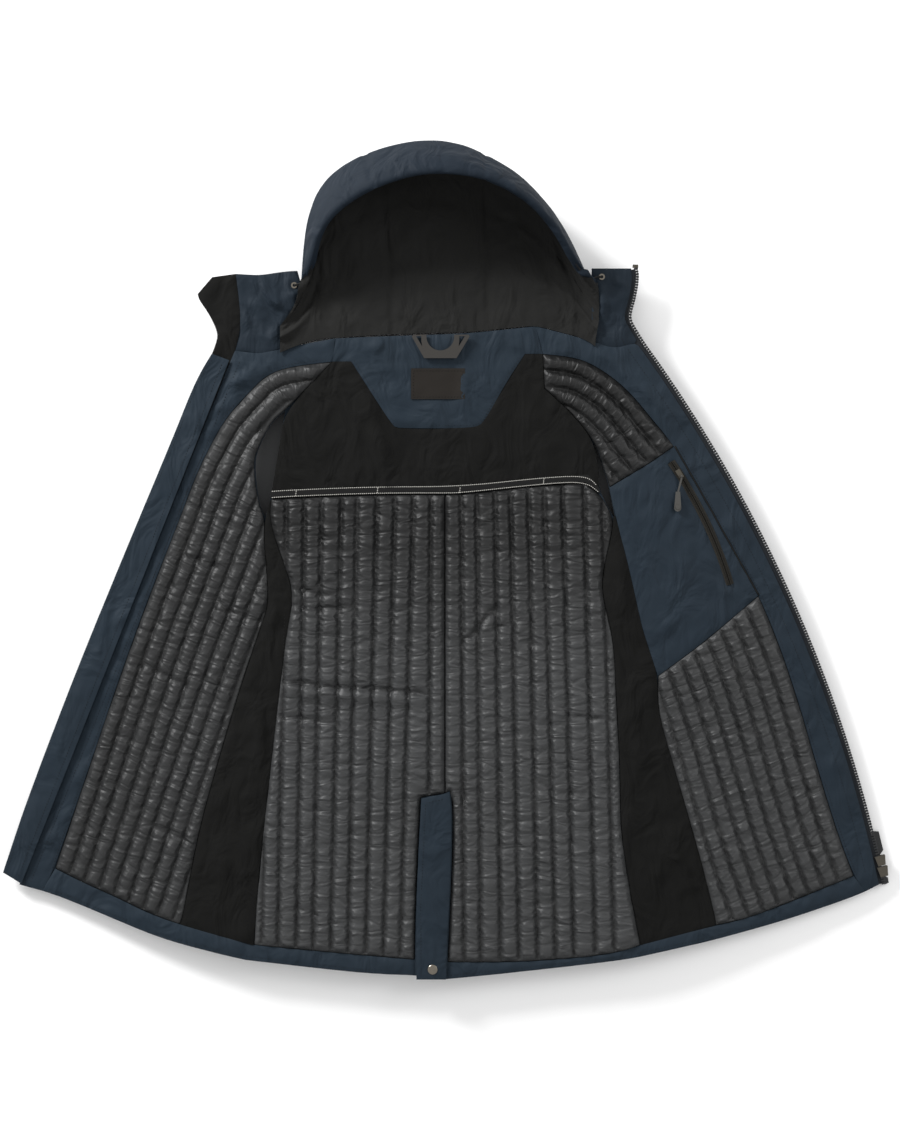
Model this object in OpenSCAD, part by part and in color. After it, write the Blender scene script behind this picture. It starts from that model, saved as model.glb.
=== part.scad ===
// Foul weather jacket: a hooded, quilted sailing parka lying open on its back, lining up.
// +Z is up from the floor, +Y runs from the hem to the hood, and right and left are the wearer's,
// so the wearer's right side lies at -X. The origin is under the middle of the whole outline.

/* [Layers] */
// Height of the body's underside above the floor, over the sleeves
body_lift = 26; // [26:0.5:32]
// Height of the underside at the far side edges
edge_lift = 5; // [4.5:0.5:8]
// Thickness of the outer shell fabric
shell_t = 2.2; // [1.5:0.1:2.2]
// Height of the facings' underside above the shell's
facing_low = 3; // [3:0.1:3.4]
// Thickness of the facings, gussets and yoke
facing_t = 2.2; // [1.5:0.1:2.2]
// Thickness of the quilted pads
quilt_t = 6.5; // [4:0.5:6.5]

/* [Main zip] */
// Radius of the curve that the left front edge lies in
zip_r = 1851; // [1850:1:1852]
// Width of the row of teeth
chain_w = 5; // [4:0.5:5]
// Thickness of the row of teeth
chain_t = 3.2; // [2.4:0.2:3.2]
// Thickness of the zip tape
tape_t = 0.6; // [0.4:0.1:0.6]
// Clearance between slider and teeth
slider_gap = 0.5; // [0.4:0.1:0.6]

/* [Chest pocket zip] */
// Radius of the curve that the pocket zip lies in
pocket_r = 560; // [559:1:561]
// Half width of the pocket's mouth
mouth_half = 3.6; // [3.6:0.1:4]

/* [Hood] */
// Height of the middle of the brim's edge above the floor
brim_h = 112; // [90:1:112]
// Height of the brim's edge at the collar
brim_side_h = 44; // [42:1:48]
// Distance between the hood's outer face and the lining's back
hood_fill = 6.4; // [6.2:0.1:7]
// Diameter of the hood drawcord
cord_d = 2.6; // [2:0.1:2.6]

/* [Sleeves] */
// Height of a flattened sleeve
sleeve_h = 25; // [23:0.5:25.5]
// Thickness of each of a sleeve's two layers
sleeve_t = 2.5; // [2:0.1:2.5]
// Length of the facing inside the cuff
cuff_len = 30; // [20:1:40]

/* [Hanger loop] */
// Radius of the half-round opening in the loop
loop_r = 18; // [16:0.5:18]
// Thickness of the loop
loop_t = 2.2; // [1.6:0.1:2.4]

/* [Hidden] */
$fn = 48;

// The outline's middle lies this far from the drawing's own zero
outline_mid = [-2.05, 2.55];
// The body is flat between these lines and slopes down to the floor beyond them
slope_x = 262;
far_x = 581;
slope = atan((body_lift - edge_lift) / (far_x - slope_x));
facing_top = facing_low + facing_t;
quilt_top = facing_low + quilt_t;
tape_low = shell_t + (facing_low - shell_t - tape_t) / 2;
chain_mid = tape_low + tape_t / 2;

// ---- helpers ----

function rev(line) = [for (i = [len(line) - 1:-1:0]) line[i]];
function moved(line, dx, dy) = [for (p = line) [p[0] + dx, p[1] + dy]];
function arc_line(mid, r, from_a, to_a, steps) =
    [for (i = [0:steps]) let (a = from_a + (to_a - from_a) * i / steps)
        [mid[0] + r * cos(a), mid[1] + r * sin(a)]];

// Moves a drawing so that the outline's middle is at zero
module place() {
    translate([-outline_mid[0], -outline_mid[1], 0]) children();
}

// The space between two heights above the body's underside, which slopes at both sides
module drape(low, high) {
    rotate([90, 0, 0]) linear_extrude(height = 1300, center = true) polygon([
        [-700, body_lift - (700 - slope_x) * tan(slope) + low], [-slope_x, body_lift + low],
        [slope_x, body_lift + low], [700, body_lift - (700 - slope_x) * tan(slope) + low],
        [700, body_lift - (700 - slope_x) * tan(slope) + high], [slope_x, body_lift + high],
        [-slope_x, body_lift + high], [-700, body_lift - (700 - slope_x) * tan(slope) + high]
    ]);
}

// A flat piece of cloth cut to an outline, which lies on the body
module panel(outline, low, high) {
    intersection() {
        translate([0, 0, -20]) linear_extrude(height = 120) polygon(outline);
        drape(low, high);
    }
}

// A drawing in the plane of the left (+1) or right (-1) sloping side
module on_slope(side) {
    translate([side * slope_x, 0, body_lift]) rotate([0, side * slope, 0])
        translate([-side * slope_x, 0, 0]) children();
}

// Part of a flat ring about a centre, between two radii, two angles and two heights
module band(mid, r_in, r_out, from_a, to_a, low, high) {
    translate([mid[0], mid[1], 0]) rotate([0, 0, from_a])
        rotate_extrude(angle = to_a - from_a, $fn = 360)
            polygon([[r_in, low], [r_out, low], [r_out, high], [r_in, high]]);
}

// ---- seam lines, from the hem up, or from right to left ----

// The flap's seam, which is also the line that it folds on
flap_seam = [[-556, -419], [-283, 263]];
flap_edge = [[-581, -404], [-549, -308], [-489, -152], [-425, 4], [-359, 160], [-328, 238], [-307, 272]];
zip_mid = [-1238, -806];
zip_low_a = 12.1;
zip_high_a = 36.3;
fabric_to_teeth = 9;
left_edge = arc_line(zip_mid, zip_r - fabric_to_teeth, zip_low_a, zip_high_a, 14);

hem_right = [[-556, -419], [-530, -428], [-499, -438], [-436, -464], [-372, -490], [-300, -508],
    [-264, -516], [-108, -534], [-43, -536]];
hem_left = [[-1, -541], [83, -533], [231, -516], [300, -501], [351, -490], [446, -464], [523, -438],
    [545, -429]];

neck_right = [[-277, 276], [-244, 272], [-218, 279], [-147, 292]];
neck_back = [[-147, 292], [-79, 295], [24, 298], [114, 308]];
neck_left = [[114, 308], [190, 288], [215, 279], [243, 286]];

quilt_right_outer = [[-513, -399], [-412, -100], [-348, 61], [-332, 105], [-313, 146], [-290, 188],
    [-256, 225], [-237, 244], [-209, 255], [-150, 262]];
quilt_right_inner = [[-350, -471], [-345, -462], [-325, -351], [-292, -235], [-272, -170],
    [-246, -92], [-235, -60], [-233, -36], [-239, 23], [-238, 60]];
quilt_right_low = [[-513, -399], [-475, -418], [-433, -436], [-392, -456], [-350, -471]];

back_right_outer = [[-253, -497], [-246, -398], [-227, -230], [-212, -100], [-200, -39], [-218, 10],
    [-233, 56], [-230, 84]];
back_left_outer = [[250, -497], [225, -363], [224, -263], [220, -192], [216, -100], [205, -60],
    [199, -23], [214, 40], [215, 60]];
back_right_low = [[-253, -497], [-148, -507], [-43, -516]];
back_left_low = [[-1, -519], [83, -520], [178, -513], [224, -506], [250, -497]];

front_left_low = [[348, -472], [395, -463], [530, -409]];
gusset_left_outer = [[348, -472], [348, -463], [328, -384], [293, -263], [272, -192], [273, -147]];
pocket_inner = [[273, -147], [251, -81], [239, -22], [218, 61]];
pocket_low = [[273, -147], [337, -100], [405, -42]];
pocket_outer = [[405, -42], [389, -14], [342, 70], [295, 152]];
pocket_top = [[210, 98], [263, 130], [295, 152]];
quilt_left_outer = [[530, -409], [507, -348], [481, -263], [456, -177], [430, -101], [405, -42]];
quilt_left_top = [[295, 152], [263, 190], [242, 216], [218, 239], [186, 260], [161, 268], [123, 272]];

// Each armhole is a slot between the front edge and the back edge
armhole_right_front = [[-238, 60], [-246, 74], [-254, 130], [-246, 152], [-230, 184], [-212, 198]];
armhole_right_back = [[-238, 60], [-230, 84], [-224, 125], [-218, 160], [-212, 198]];
armhole_left_front = [[217, 61], [210, 98], [200, 134], [188, 162]];
armhole_left_back = [[215, 60], [200, 88], [196, 100], [195, 128], [188, 162]];
shoulder_right = [[-212, 198], [-150, 262], [-147, 292]];
shoulder_left = [[188, 162], [156, 199], [125, 227], [121, 278], [114, 308]];
side_right = [[-300, -508], [-262, -250], [-240, 20], [-238, 60]];
side_left = [[300, -501], [262, -250], [226, 20], [217, 61]];

tape_top_line = [[-230, 94], [-198, 96], [-92, 100], [15, 100], [124, 112], [182, 115], [196, 100]];
tape_low_line = [[-230, 84], [-198, 86], [-92, 90], [-4, 90], [15, 90], [124, 102], [178, 105],
    [198, 90]];
neck_facing_low = [[-126, 262], [-72, 178], [-65, 175], [35, 175], [47, 183], [75, 234], [100, 272],
    [123, 272]];
center_x = -4;
vent_top = -300;

// ---- outer shell ----

module shell_front_right() {
    color("#2f3840") place() panel(concat(
        [for (i = [0:5]) hem_right[i]], side_right, armhole_right_front, shoulder_right,
        rev(neck_right), [flap_seam[1]]), 0, shell_t);
}

module shell_front_left() {
    color("#2f3840") place() panel(concat(
        [for (i = [3:7]) hem_left[i]], left_edge, rev(neck_left), rev(shoulder_left),
        rev(armhole_left_front), rev(side_left)), 0, shell_t);
}

module shell_back_right() {
    color("#2f3840") place() panel(concat(
        [for (i = [5:8]) hem_right[i]], [[center_x - 1, -541], [center_x - 1, vent_top],
        [center_x, vent_top], [center_x, 296.5]], [[-79, 295], [-147, 292]], rev(shoulder_right),
        rev(armhole_right_back), rev(side_right)), 0, shell_t);
}

module shell_back_left() {
    color("#2f3840") place() panel(concat(
        [for (i = [0:3]) hem_left[i]], side_left, [[215, 60]], armhole_left_back, shoulder_left,
        [[24, 298], [center_x, 296.5]]), 0, shell_t);
}

// ---- lining ----

module quilt(outline) {
    color("#3d3e40") place() panel(outline, facing_low, quilt_top);
}

module lining_piece(outline, paint) {
    color(paint) place() panel(outline, facing_low, facing_top);
}

module quilt_front_right() {
    quilt(concat(rev(quilt_right_outer), quilt_right_low, quilt_right_inner,
        armhole_right_front, [[-150, 262]]));
}

module quilt_front_left_upper() {
    quilt(concat(pocket_top, quilt_left_top, [[125, 227], [156, 199], [188, 162], [200, 134]]));
}

module quilt_front_left_lower() {
    quilt(concat(front_left_low, quilt_left_outer, rev(pocket_low), rev(gusset_left_outer)));
}

module quilt_back_right() {
    quilt(concat(back_right_low, [[-42, -445], [-35, -305], [center_x, vent_top]],
        rev([for (i = [0:3]) tape_low_line[i]]), rev(back_right_outer)));
}

module quilt_back_left() {
    quilt(concat([[center_x, vent_top], [2, -297], [6, -316], [5, -395]], back_left_low,
        back_left_outer, rev([for (i = [3:7]) tape_low_line[i]])));
}

module side_gusset_right() {
    lining_piece(concat([[-350, -471]], [[-253, -497]], back_right_outer, rev(quilt_right_inner)),
        "#21211f");
}

module side_gusset_left() {
    lining_piece(concat([[250, -497]], gusset_left_outer, pocket_inner, rev(back_left_outer)),
        "#21211f");
}

module yoke_lining() {
    lining_piece(concat(tape_low_line, [[196, 100], [195, 128], [188, 162], [156, 199], [125, 227]],
        rev(neck_facing_low), [[-150, 262]], rev(armhole_right_back)), "#1f1f1d");
}

module neck_facing() {
    lining_piece(concat(neck_facing_low, [[121, 278]], rev(neck_back), [[-150, 262]]), "#2f3840");
}

module front_facing_right() {
    lining_piece(concat([[-556, -419], [-530, -428]], quilt_right_outer, [[-147, 292]],
        rev(neck_right), [flap_seam[1]]), "#2f3840");
}

module front_facing_left() {
    lining_piece(concat([[545, -429]], left_edge, rev(neck_left), [[121, 278], [123, 272]],
        rev(quilt_left_top), rev(pocket_outer), rev(quilt_left_outer)), "#2f3840");
}

module hem_facing_right() {
    lining_piece(concat([for (i = [1:8]) hem_right[i]], rev(back_right_low),
        rev(quilt_right_low)), "#333c45");
}

module hem_facing_left() {
    lining_piece(concat(hem_left, rev(front_left_low), rev(back_left_low)), "#333c45");
}

module vent_facing() {
    lining_piece([[-43, -536], [-20, -541], [-1, -541], [-1, -519], [5, -395], [6, -316], [2, -297],
        [center_x, vent_top], [-35, -305], [-42, -445], [-43, -516]], "#2f3840");
}

module yoke_tape() {
    color("#262624") place() panel(concat(tape_low_line, rev(tape_top_line)),
        facing_top, facing_top + 1);
}

module neck_label() {
    label_w = 70;
    label_h = 40;
    color("#322e28") place() translate([-48, 213, body_lift + facing_top])
        cube([label_w, label_h, 1.2]);
}

// ---- chest pocket ----

pocket_mid = [-169, -189];
pocket_low_a = 16.7;
pocket_high_a = 34.9;
pocket_slider_a = 33;
coil_t = 2;
coil_low = facing_top - 0.5;
pocket_tape_low = facing_top;
slider_plate_t = 0.9;

module pocket_panel() {
    color("#2f3840") place() difference() {
        panel(concat(pocket_inner, pocket_top, rev(pocket_outer), rev(pocket_low)),
            facing_low, facing_top);
        on_slope(1) band(pocket_mid, pocket_r - mouth_half, pocket_r + mouth_half,
            pocket_low_a, pocket_high_a, -5, 15);
    }
}

// The bag is one flat layer here, pressed between the panel and the shell
module pocket_bag() {
    color("#3a3b3c") place() panel([[240, -60], [262, 122], [292, 138], [370, -30], [270, -120]],
        tape_low, tape_low + tape_t);
}

module pocket_zip_tape() {
    color("#2e2c26") place() on_slope(1) for (s = [-1, 1])
        band(pocket_mid, pocket_r + min(s * 2.1, s * 4.8), pocket_r + max(s * 2.1, s * 4.8),
            pocket_low_a, pocket_high_a, pocket_tape_low, pocket_tape_low + tape_t);
}

module pocket_zip_coil() {
    color("#26241f") place() on_slope(1) for (s = [-1, 1])
        band(pocket_mid, pocket_r + min(s * 0.6, s * 1.8), pocket_r + max(s * 0.6, s * 1.8),
            pocket_low_a, pocket_high_a, coil_low, coil_low + coil_t);
}

// A drawing about the pocket slider's middle: X outward from the curve's centre, Y along it
module at_pocket_slider() {
    place() on_slope(1) translate([pocket_mid[0], pocket_mid[1], 0]) rotate([0, 0, pocket_slider_a])
        translate([pocket_r, 0, 0]) children();
}

pocket_plate_low = coil_low + coil_t + 0.4;
pocket_pin_z = pocket_plate_low + slider_plate_t + 1.9;
// The pull's pin lies across the jacket, 4 mm below the slider's middle
pocket_pin = pocket_mid + pocket_r * [cos(pocket_slider_a), sin(pocket_slider_a)]
    + 4 * [sin(pocket_slider_a), -cos(pocket_slider_a)];

module pocket_slider() {
    color("#4a463c") {
        at_pocket_slider() {
            translate([-3.1, -6, pocket_plate_low]) cube([6.2, 12, slider_plate_t]);
            translate([-0.25, 1, coil_low - 0.6]) cube([0.5, 4, coil_t + 1.2]);
            translate([-3.1, -6, coil_low - 1.3]) cube([6.2, 12, 0.7]);
        }
        place() on_slope(1) {
            for (s = [-1, 1]) translate([pocket_pin[0] + s * 1.9 - 0.5, pocket_pin[1] - 1.2,
                pocket_plate_low + slider_plate_t - 0.1]) cube([1, 2.4, 2.8]);
            translate([pocket_pin[0] - 1.9, pocket_pin[1], pocket_pin_z]) rotate([0, 90, 0])
                cylinder(r = 0.7, h = 3.8);
        }
    }
}

module pocket_pull() {
    tab_low = pocket_pin_z - 1.1;
    color("#4a4a48") place() on_slope(1) translate([pocket_pin[0], pocket_pin[1], 0]) {
        difference() {
            union() {
                translate([-1.1, 0, pocket_pin_z]) rotate([0, 90, 0]) cylinder(r = 1.5, h = 2.2);
                translate([0, 0, tab_low]) linear_extrude(height = 1.8)
                    polygon([[-1.1, 0.5], [1.1, 0.5], [1.1, -3], [-3.6, -21], [-5.8, -21], [-1.1, -3]]);
            }
            translate([-2, 0, pocket_pin_z]) rotate([0, 90, 0]) cylinder(r = 0.85, h = 4);
        }
        translate([0, 0, tab_low]) linear_extrude(height = 2.2) hull() {
            translate([-7.5, -21.5]) square([5.6, 1.5]);
            translate([-5, -41.2]) circle(r = 4.6, $fn = 24);
        }
        translate([-5, -40, tab_low + 2.2]) cylinder(r = 3, h = 1.2);
    }
}

// ---- collar ----

// The zip goes on up the left collar along this wavy line
collar_zip = [[254, 290], [245, 305], [238.5, 316], [239, 326], [245, 346], [249, 372], [247, 383]];
collar_right = [[-277, 276], [-244, 272], [-218, 279], [-218, 309], [-202, 329], [-188, 352],
    [-196, 380], [-214, 379], [-244, 374], [-276, 376], [-268, 311]];
collar_left = concat([[187, 289], [190, 288], [215, 279], [243, 286]],
    moved(collar_zip, -fabric_to_teeth, 0), [[187, 383]]);

module collar_shell_right() {
    color("#29323a") place() panel(collar_right, 0, shell_t);
}

module collar_shell_left() {
    color("#29323a") place() panel(collar_left, 0, shell_t);
}

module collar_facing_right() {
    color("#29323a") place() panel(collar_right, facing_low, facing_top);
}

module collar_facing_left() {
    color("#29323a") place() panel(collar_left, facing_low, facing_top);
}

module chin_guard() {
    color("#1d1d1c") place() panel([[-283.5, 264], [-277, 276], [-268, 311], [-276, 376], [-307, 372],
        [-326, 350], [-324, 342], [-312, 326], [-300, 302], [-300, 290], [-307, 273]], 0, facing_top);
}

// ---- main zip ----

flap_a = atan2(flap_seam[1][1] - flap_seam[0][1], flap_seam[1][0] - flap_seam[0][0]);
flap_len = norm(flap_seam[1] - flap_seam[0]);
flap_low = quilt_top - 2;
flap_t = 2;

// A drawing along the flap's seam: X up the seam, Y outward from the jacket
module along_flap() {
    place() on_slope(-1) translate([flap_seam[0][0], flap_seam[0][1], 0]) rotate([0, 0, flap_a])
        children();
}

module storm_flap() {
    color("#2f3840") place() panel(concat(flap_edge, [[-284.3, 263.5], [-556.9, -418.5]]),
        flap_low, flap_low + flap_t);
}

module zip_tape_right() {
    color("#1d2026") along_flap() translate([14, -3, tape_low]) cube([flap_len - 14, 12.5, tape_t]);
}

module zip_teeth_right() {
    color("#15171a") along_flap() difference() {
        translate([16, 8, chain_mid - chain_t / 2]) cube([flap_len - 20, chain_w, chain_t]);
        translate([14, -3, tape_low]) cube([flap_len - 14, 12.5, tape_t]);
    }
}

module zip_pin_right() {
    color("#15171a") along_flap() translate([2, 8, chain_mid - 1]) cube([12, 2.5, 2]);
}

// Part of the left zip, between two radii and two heights, running past its ends by an angle.
// It lies in the sloping plane beyond the bend and flat before it, as the cloth does.
module zip_band(r_in, r_out, past, low, high) {
    intersection() {
        on_slope(1) band(zip_mid, r_in, r_out, zip_low_a - past, zip_high_a + past, low, high);
        translate([slope_x - 0.1, -600, 0]) cube([400, 1200, 80]);
    }
    intersection() {
        translate([0, 0, body_lift])
            band(zip_mid, r_in, r_out, zip_high_a - 2, zip_high_a + past, low, high);
        translate([slope_x - 60, 0, 0]) cube([60, 400, 80]);
    }
}

module zip_tape_left() {
    color("#1d2026") place() {
        zip_band(zip_r - 17, zip_r - 3.5, 0, tape_low, tape_low + tape_t);
        panel(concat(moved(collar_zip, -3.5, 0.3), rev(moved(collar_zip, -15, 0.3))),
            tape_low, tape_low + tape_t);
    }
}

module zip_teeth_left() {
    color("#15171a") place() difference() {
        union() {
            zip_band(zip_r - chain_w, zip_r, 0, chain_mid - chain_t / 2, chain_mid + chain_t / 2);
            panel(concat(moved(collar_zip, 0, 0.3), rev(moved(collar_zip, -chain_w, 0.3))),
                chain_mid - chain_t / 2, chain_mid + chain_t / 2);
        }
        zip_band(zip_r - 17, zip_r - 3.5, 1, tape_low, tape_low + tape_t);
        panel(concat(moved(collar_zip, -3.5, 0.3), rev(moved(collar_zip, -15, 0.3))),
            tape_low, tape_low + tape_t);
    }
}

module zip_top_stop_left() {
    color("#4a463c") place() panel([[240, 384], [247.5, 384], [247.3, 388], [240.3, 388]],
        chain_mid - 2.4, chain_mid + 2.4);
}

upper_a = 13.02;
lower_a = 12.57;
plate_t = 1.2;
plate_high = chain_mid + chain_t / 2 + slider_gap;
plate_low = chain_mid - chain_t / 2 - slider_gap - plate_t;
pin_z = plate_low - 1.9;

// A drawing about a main slider's middle: X outward from the teeth's tips, Y up the zip
module at_slider(a) {
    place() on_slope(1) translate([zip_mid[0], zip_mid[1], 0]) rotate([0, 0, a])
        translate([zip_r, 0, 0]) children();
}

// One main slider, with the pin of its pull at pin_y
module slider(a, pin_y) {
    face = [[-6.5, 6.5], [7.5, 6.5], [5.5, -6.5], [-4.5, -6.5]];
    color("#4a463c") at_slider(a) {
        for (z = [plate_low, plate_high]) translate([0, 0, z])
            linear_extrude(height = plate_t) polygon(face);
        translate([0.8, 0, plate_low + 0.5]) cube([2.4, 6, plate_high - plate_low]);
        for (s = [-1, 1]) translate([s * 3.5 - 0.6, pin_y - 1.2, pin_z - 0.9])
            cube([1.2, 2.4, plate_low - pin_z + 1]);
        translate([-3.5, pin_y, pin_z]) rotate([0, 90, 0]) cylinder(r = 0.8, h = 7);
    }
}

// A pull that lies along the zip from its pin: way is +1 up the zip or -1 down it
module slider_pull(a, pin_y, way, outline) {
    color("#26241f") at_slider(a) translate([0, pin_y, pin_z]) difference() {
        union() {
            translate([-2.4, 0, 0]) rotate([0, 90, 0]) cylinder(r = 1.4, h = 4.8);
            translate([0, 0, -0.7]) linear_extrude(height = 1.4)
                polygon([for (p = outline) [p[0], way * p[1]]]);
        }
        translate([-4, 0, 0]) rotate([0, 90, 0]) cylinder(r = 0.95, h = 8);
    }
}

module slider_upper() {
    slider(upper_a, 4);
}

module slider_lower() {
    slider(lower_a, -4);
}

module slider_pull_upper() {
    slider_pull(upper_a, 4, 1, [[-2.4, 0], [2.4, 0], [2.4, 3], [8, 8], [7.5, 33], [0, 35], [-2.4, 31]]);
}

module slider_pull_lower() {
    slider_pull(lower_a, -4, -1, [[-2.4, 0], [2.4, 0], [2.4, 3], [6, 6], [5.5, 13], [0, 14], [-2.4, 12]]);
}

// ---- vent flap and snap ----

vent_flap_low = quilt_top - 1.9;
vent_flap_t = 2;
snap = [-20, -528];

module vent_flap() {
    color("#2f3840") place() difference() {
        panel([[-41, -541], [-41.5, -445], [-34.5, -306], [1, -299], [4.4, -316], [3.6, -395],
            [-2.5, -519], [-2.5, -541]], vent_flap_low, vent_flap_low + vent_flap_t);
        translate([snap[0], snap[1], 0]) cylinder(r = 2.6, h = 60);
    }
}

module snap_cap() {
    color("#5b564c") place() translate([snap[0], snap[1], body_lift + vent_flap_low + vent_flap_t])
        rotate_extrude() polygon([[0, 0], [6.3, 0], [6.3, 0.5], [5.6, 1.1], [4, 1.5], [0, 1.6]]);
}

module snap_socket() {
    color("#5b564c") place() translate([snap[0], snap[1], body_lift + facing_top + 0.8])
        difference() {
            cylinder(r = 5.2, h = vent_flap_low - facing_top - 0.8);
            translate([0, 0, -1]) cylinder(r = 2.6, h = 5);
        }
}

module snap_stud() {
    color("#5b564c") place() translate([snap[0], snap[1], body_lift + facing_top]) {
        cylinder(r = 5, h = 0.4);
        cylinder(r = 1.7, h = 2.1);
    }
}

// ---- hanger loop ----

loop_mid = [-10, 294];
loop_low = 8.5;

module hanger_loop() {
    color("#3c3934") place() translate([0, 0, body_lift + loop_low]) linear_extrude(height = loop_t)
        difference() {
            polygon([[-47, 294], [-45, 296.5], [27, 296.5], [28, 294], [11, 266], [-31, 266]]);
            translate(loop_mid) circle(r = loop_r);
            translate([loop_mid[0] - loop_r, loop_mid[1]]) square([2 * loop_r, 5]);
            polygon([[-41.5, 294.5], [-34.7, 294.5], [-34.6, 288], [-33.4, 281]]);
            polygon([[22, 294.5], [14.7, 294.5], [14.6, 288], [13.8, 281]]);
        }
}

// ---- hood ----

hood_mid = [0, 330];
hood_low = 5;
hood_start_z = body_lift;
outline_r = [[0, 183], [20, 182], [30, 181], [49, 187], [74, 202], [90, 215], [110, 223],
    [134, 232], [161, 198], [172, 186], [180, 184]];
opening_r = [[0, 175], [16, 176], [27, 172], [45, 171], [64, 169], [88, 169], [116, 175],
    [126, 180], [148, 192], [171, 178], [180, 176]];
// Share of the way from the neck seam to the outline, by the way along the cloth
reach = [[0, 0], [0.1, 0.17], [0.25, 0.45], [0.4, 0.72], [0.5, 0.88], [0.6, 0.97], [0.7, 1]];
// Share of the height from the floor to the brim's edge, by the way along the cloth
rise = [[0.4, 0], [0.5, 0.1], [0.6, 0.28], [0.7, 0.52], [0.85, 0.84], [1, 1]];

function neck_y(x) = lookup(x, [[-190, 293], [-147, 294], [-79, 297], [24, 300], [114, 310],
    [150, 301], [190, 292]]);
function hood_point(a, w) =
    let (
        side = sin(a),
        neck = [184 * cos(a), neck_y(184 * cos(a))],
        edge_h = brim_side_h + (brim_h - brim_side_h) * side,
        low = hood_low + (hood_start_z - hood_low) * pow(1 - side, 1.5),
        out = hood_mid + lookup(a, outline_r) * [cos(a), sin(a)],
        brim = hood_mid + lookup(a, opening_r) * [cos(a), sin(a)],
        flat = w < 0.7 ? neck + lookup(w, reach) * (out - neck) : out + (w - 0.7) / 0.3 * (brim - out),
        fall = max(0, 1 - w / 0.3),
        z = w < 0.4 ? low + (hood_start_z - low) * fall * fall * (3 - 2 * fall)
            : low + (edge_h - low) * lookup(w, rise)
    ) [flat[0], flat[1], z];
function unit(v) = v / norm(v);
function hood_normal(a, w) =
    let (
        along = hood_point(a, min(w + 0.05, 1)) - hood_point(a, max(w - 0.05, 0)),
        around = hood_point(min(a + 4, 180), w) - hood_point(max(a - 4, 0), w)
    ) unit(cross(along, around));
function hood_at(a, w, depth) = hood_point(a, w) + depth * hood_normal(a, w);

// A curved sheet of the hood between two angles, two ways along the cloth and two depths
module hood_sheet(from_a, to_a, from_w, to_w, near, far) {
    cols = ceil((to_a - from_a) / 7.5);
    rows = ceil((to_w - from_w) / 0.08);
    n = rows + 1;
    layer = (cols + 1) * n;
    points = [for (depth = [near, far]) for (i = [0:cols]) for (k = [0:rows])
        hood_at(from_a + (to_a - from_a) * i / cols, from_w + (to_w - from_w) * k / rows, depth)];
    function at(i, k) = i * n + k;
    quads = concat(
        [for (i = [0:cols - 1]) for (k = [0:rows - 1])
            [at(i, k), at(i + 1, k), at(i + 1, k + 1), at(i, k + 1)]],
        [for (i = [0:cols - 1]) for (k = [0:rows - 1])
            [layer + at(i, k), layer + at(i, k + 1), layer + at(i + 1, k + 1), layer + at(i + 1, k)]],
        [for (i = [0:cols - 1]) [at(i, 0), layer + at(i, 0), layer + at(i + 1, 0), at(i + 1, 0)]],
        [for (i = [0:cols - 1]) [at(i, rows), at(i + 1, rows), layer + at(i + 1, rows),
            layer + at(i, rows)]],
        [for (k = [0:rows - 1]) [at(0, k), at(0, k + 1), layer + at(0, k + 1), layer + at(0, k)]],
        [for (k = [0:rows - 1]) [at(cols, k), layer + at(cols, k), layer + at(cols, k + 1),
            at(cols, k + 1)]]
    );
    polyhedron(points, [for (q = quads) rev(q)]);
}

brim_w = 0.86;
seam_a = 0.3;
shell_seams = [[2, 73], [73, 123], [123, 178]];
lining_seams = [[2, 68], [68, 118], [118, 178]];

// The shell has a hole on each side, through which the cord runs into the brim
module hood_shell() {
    color("#2f3840") place() difference() {
        for (s = shell_seams)
            hood_sheet(s[0] + seam_a, s[1] - seam_a, 0, brim_w - 0.005, 0, shell_t);
        tube(cord_route, cord_d + 1.2);
    }
}

module hood_lining() {
    color("#23231f") place() for (s = lining_seams)
        hood_sheet(s[0] + seam_a, s[1] - seam_a, 0, brim_w - 0.005, hood_fill, hood_fill + 2);
}

// The brim is a channel of cloth round the drawcord, open only at its ends
module hood_brim() {
    steps = 24;
    inner = hood_fill + 2;
    section = [[brim_w, 0], [0.93, 0], [1, 0], [1, inner], [0.93, inner], [brim_w, inner],
        [brim_w, hood_fill], [0.93, hood_fill], [0.98, hood_fill], [0.98, shell_t],
        [0.93, shell_t], [brim_w, shell_t]];
    n = len(section);
    points = [for (i = [0:steps]) for (p = section) hood_at(2 + 176 * i / steps, p[0], p[1])];
    sides = [for (i = [0:steps - 1]) for (k = [0:n - 1])
        [i * n + k, (i + 1) * n + k, (i + 1) * n + (k + 1) % n, i * n + (k + 1) % n]];
    cap = [[0, 1, 10, 11], [1, 2, 9, 10], [2, 3, 8, 9], [3, 4, 7, 8], [4, 5, 6, 7]];
    last = [for (q = cap) [for (k = rev(q)) steps * n + k]];
    color("#2f3840") place() polyhedron(points, [for (q = concat(sides, cap, last)) rev(q)]);
}

// The cord runs from one eyelet, through the brim, to the other
eyelet_right = [-200, 361];
eyelet_left = [200, 372];
cord_z = body_lift + facing_top + 2.2;
cord_depth = (shell_t + hood_fill) / 2;
cord_route = concat(
    [[eyelet_right[0], eyelet_right[1], cord_z], [-194, 362, cord_z + 2]],
    [for (i = [0:22]) hood_at(170 - 160 * i / 22, 0.93, cord_depth)],
    [[192, 371, cord_z + 2.5], [eyelet_left[0], eyelet_left[1], cord_z]]);

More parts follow.
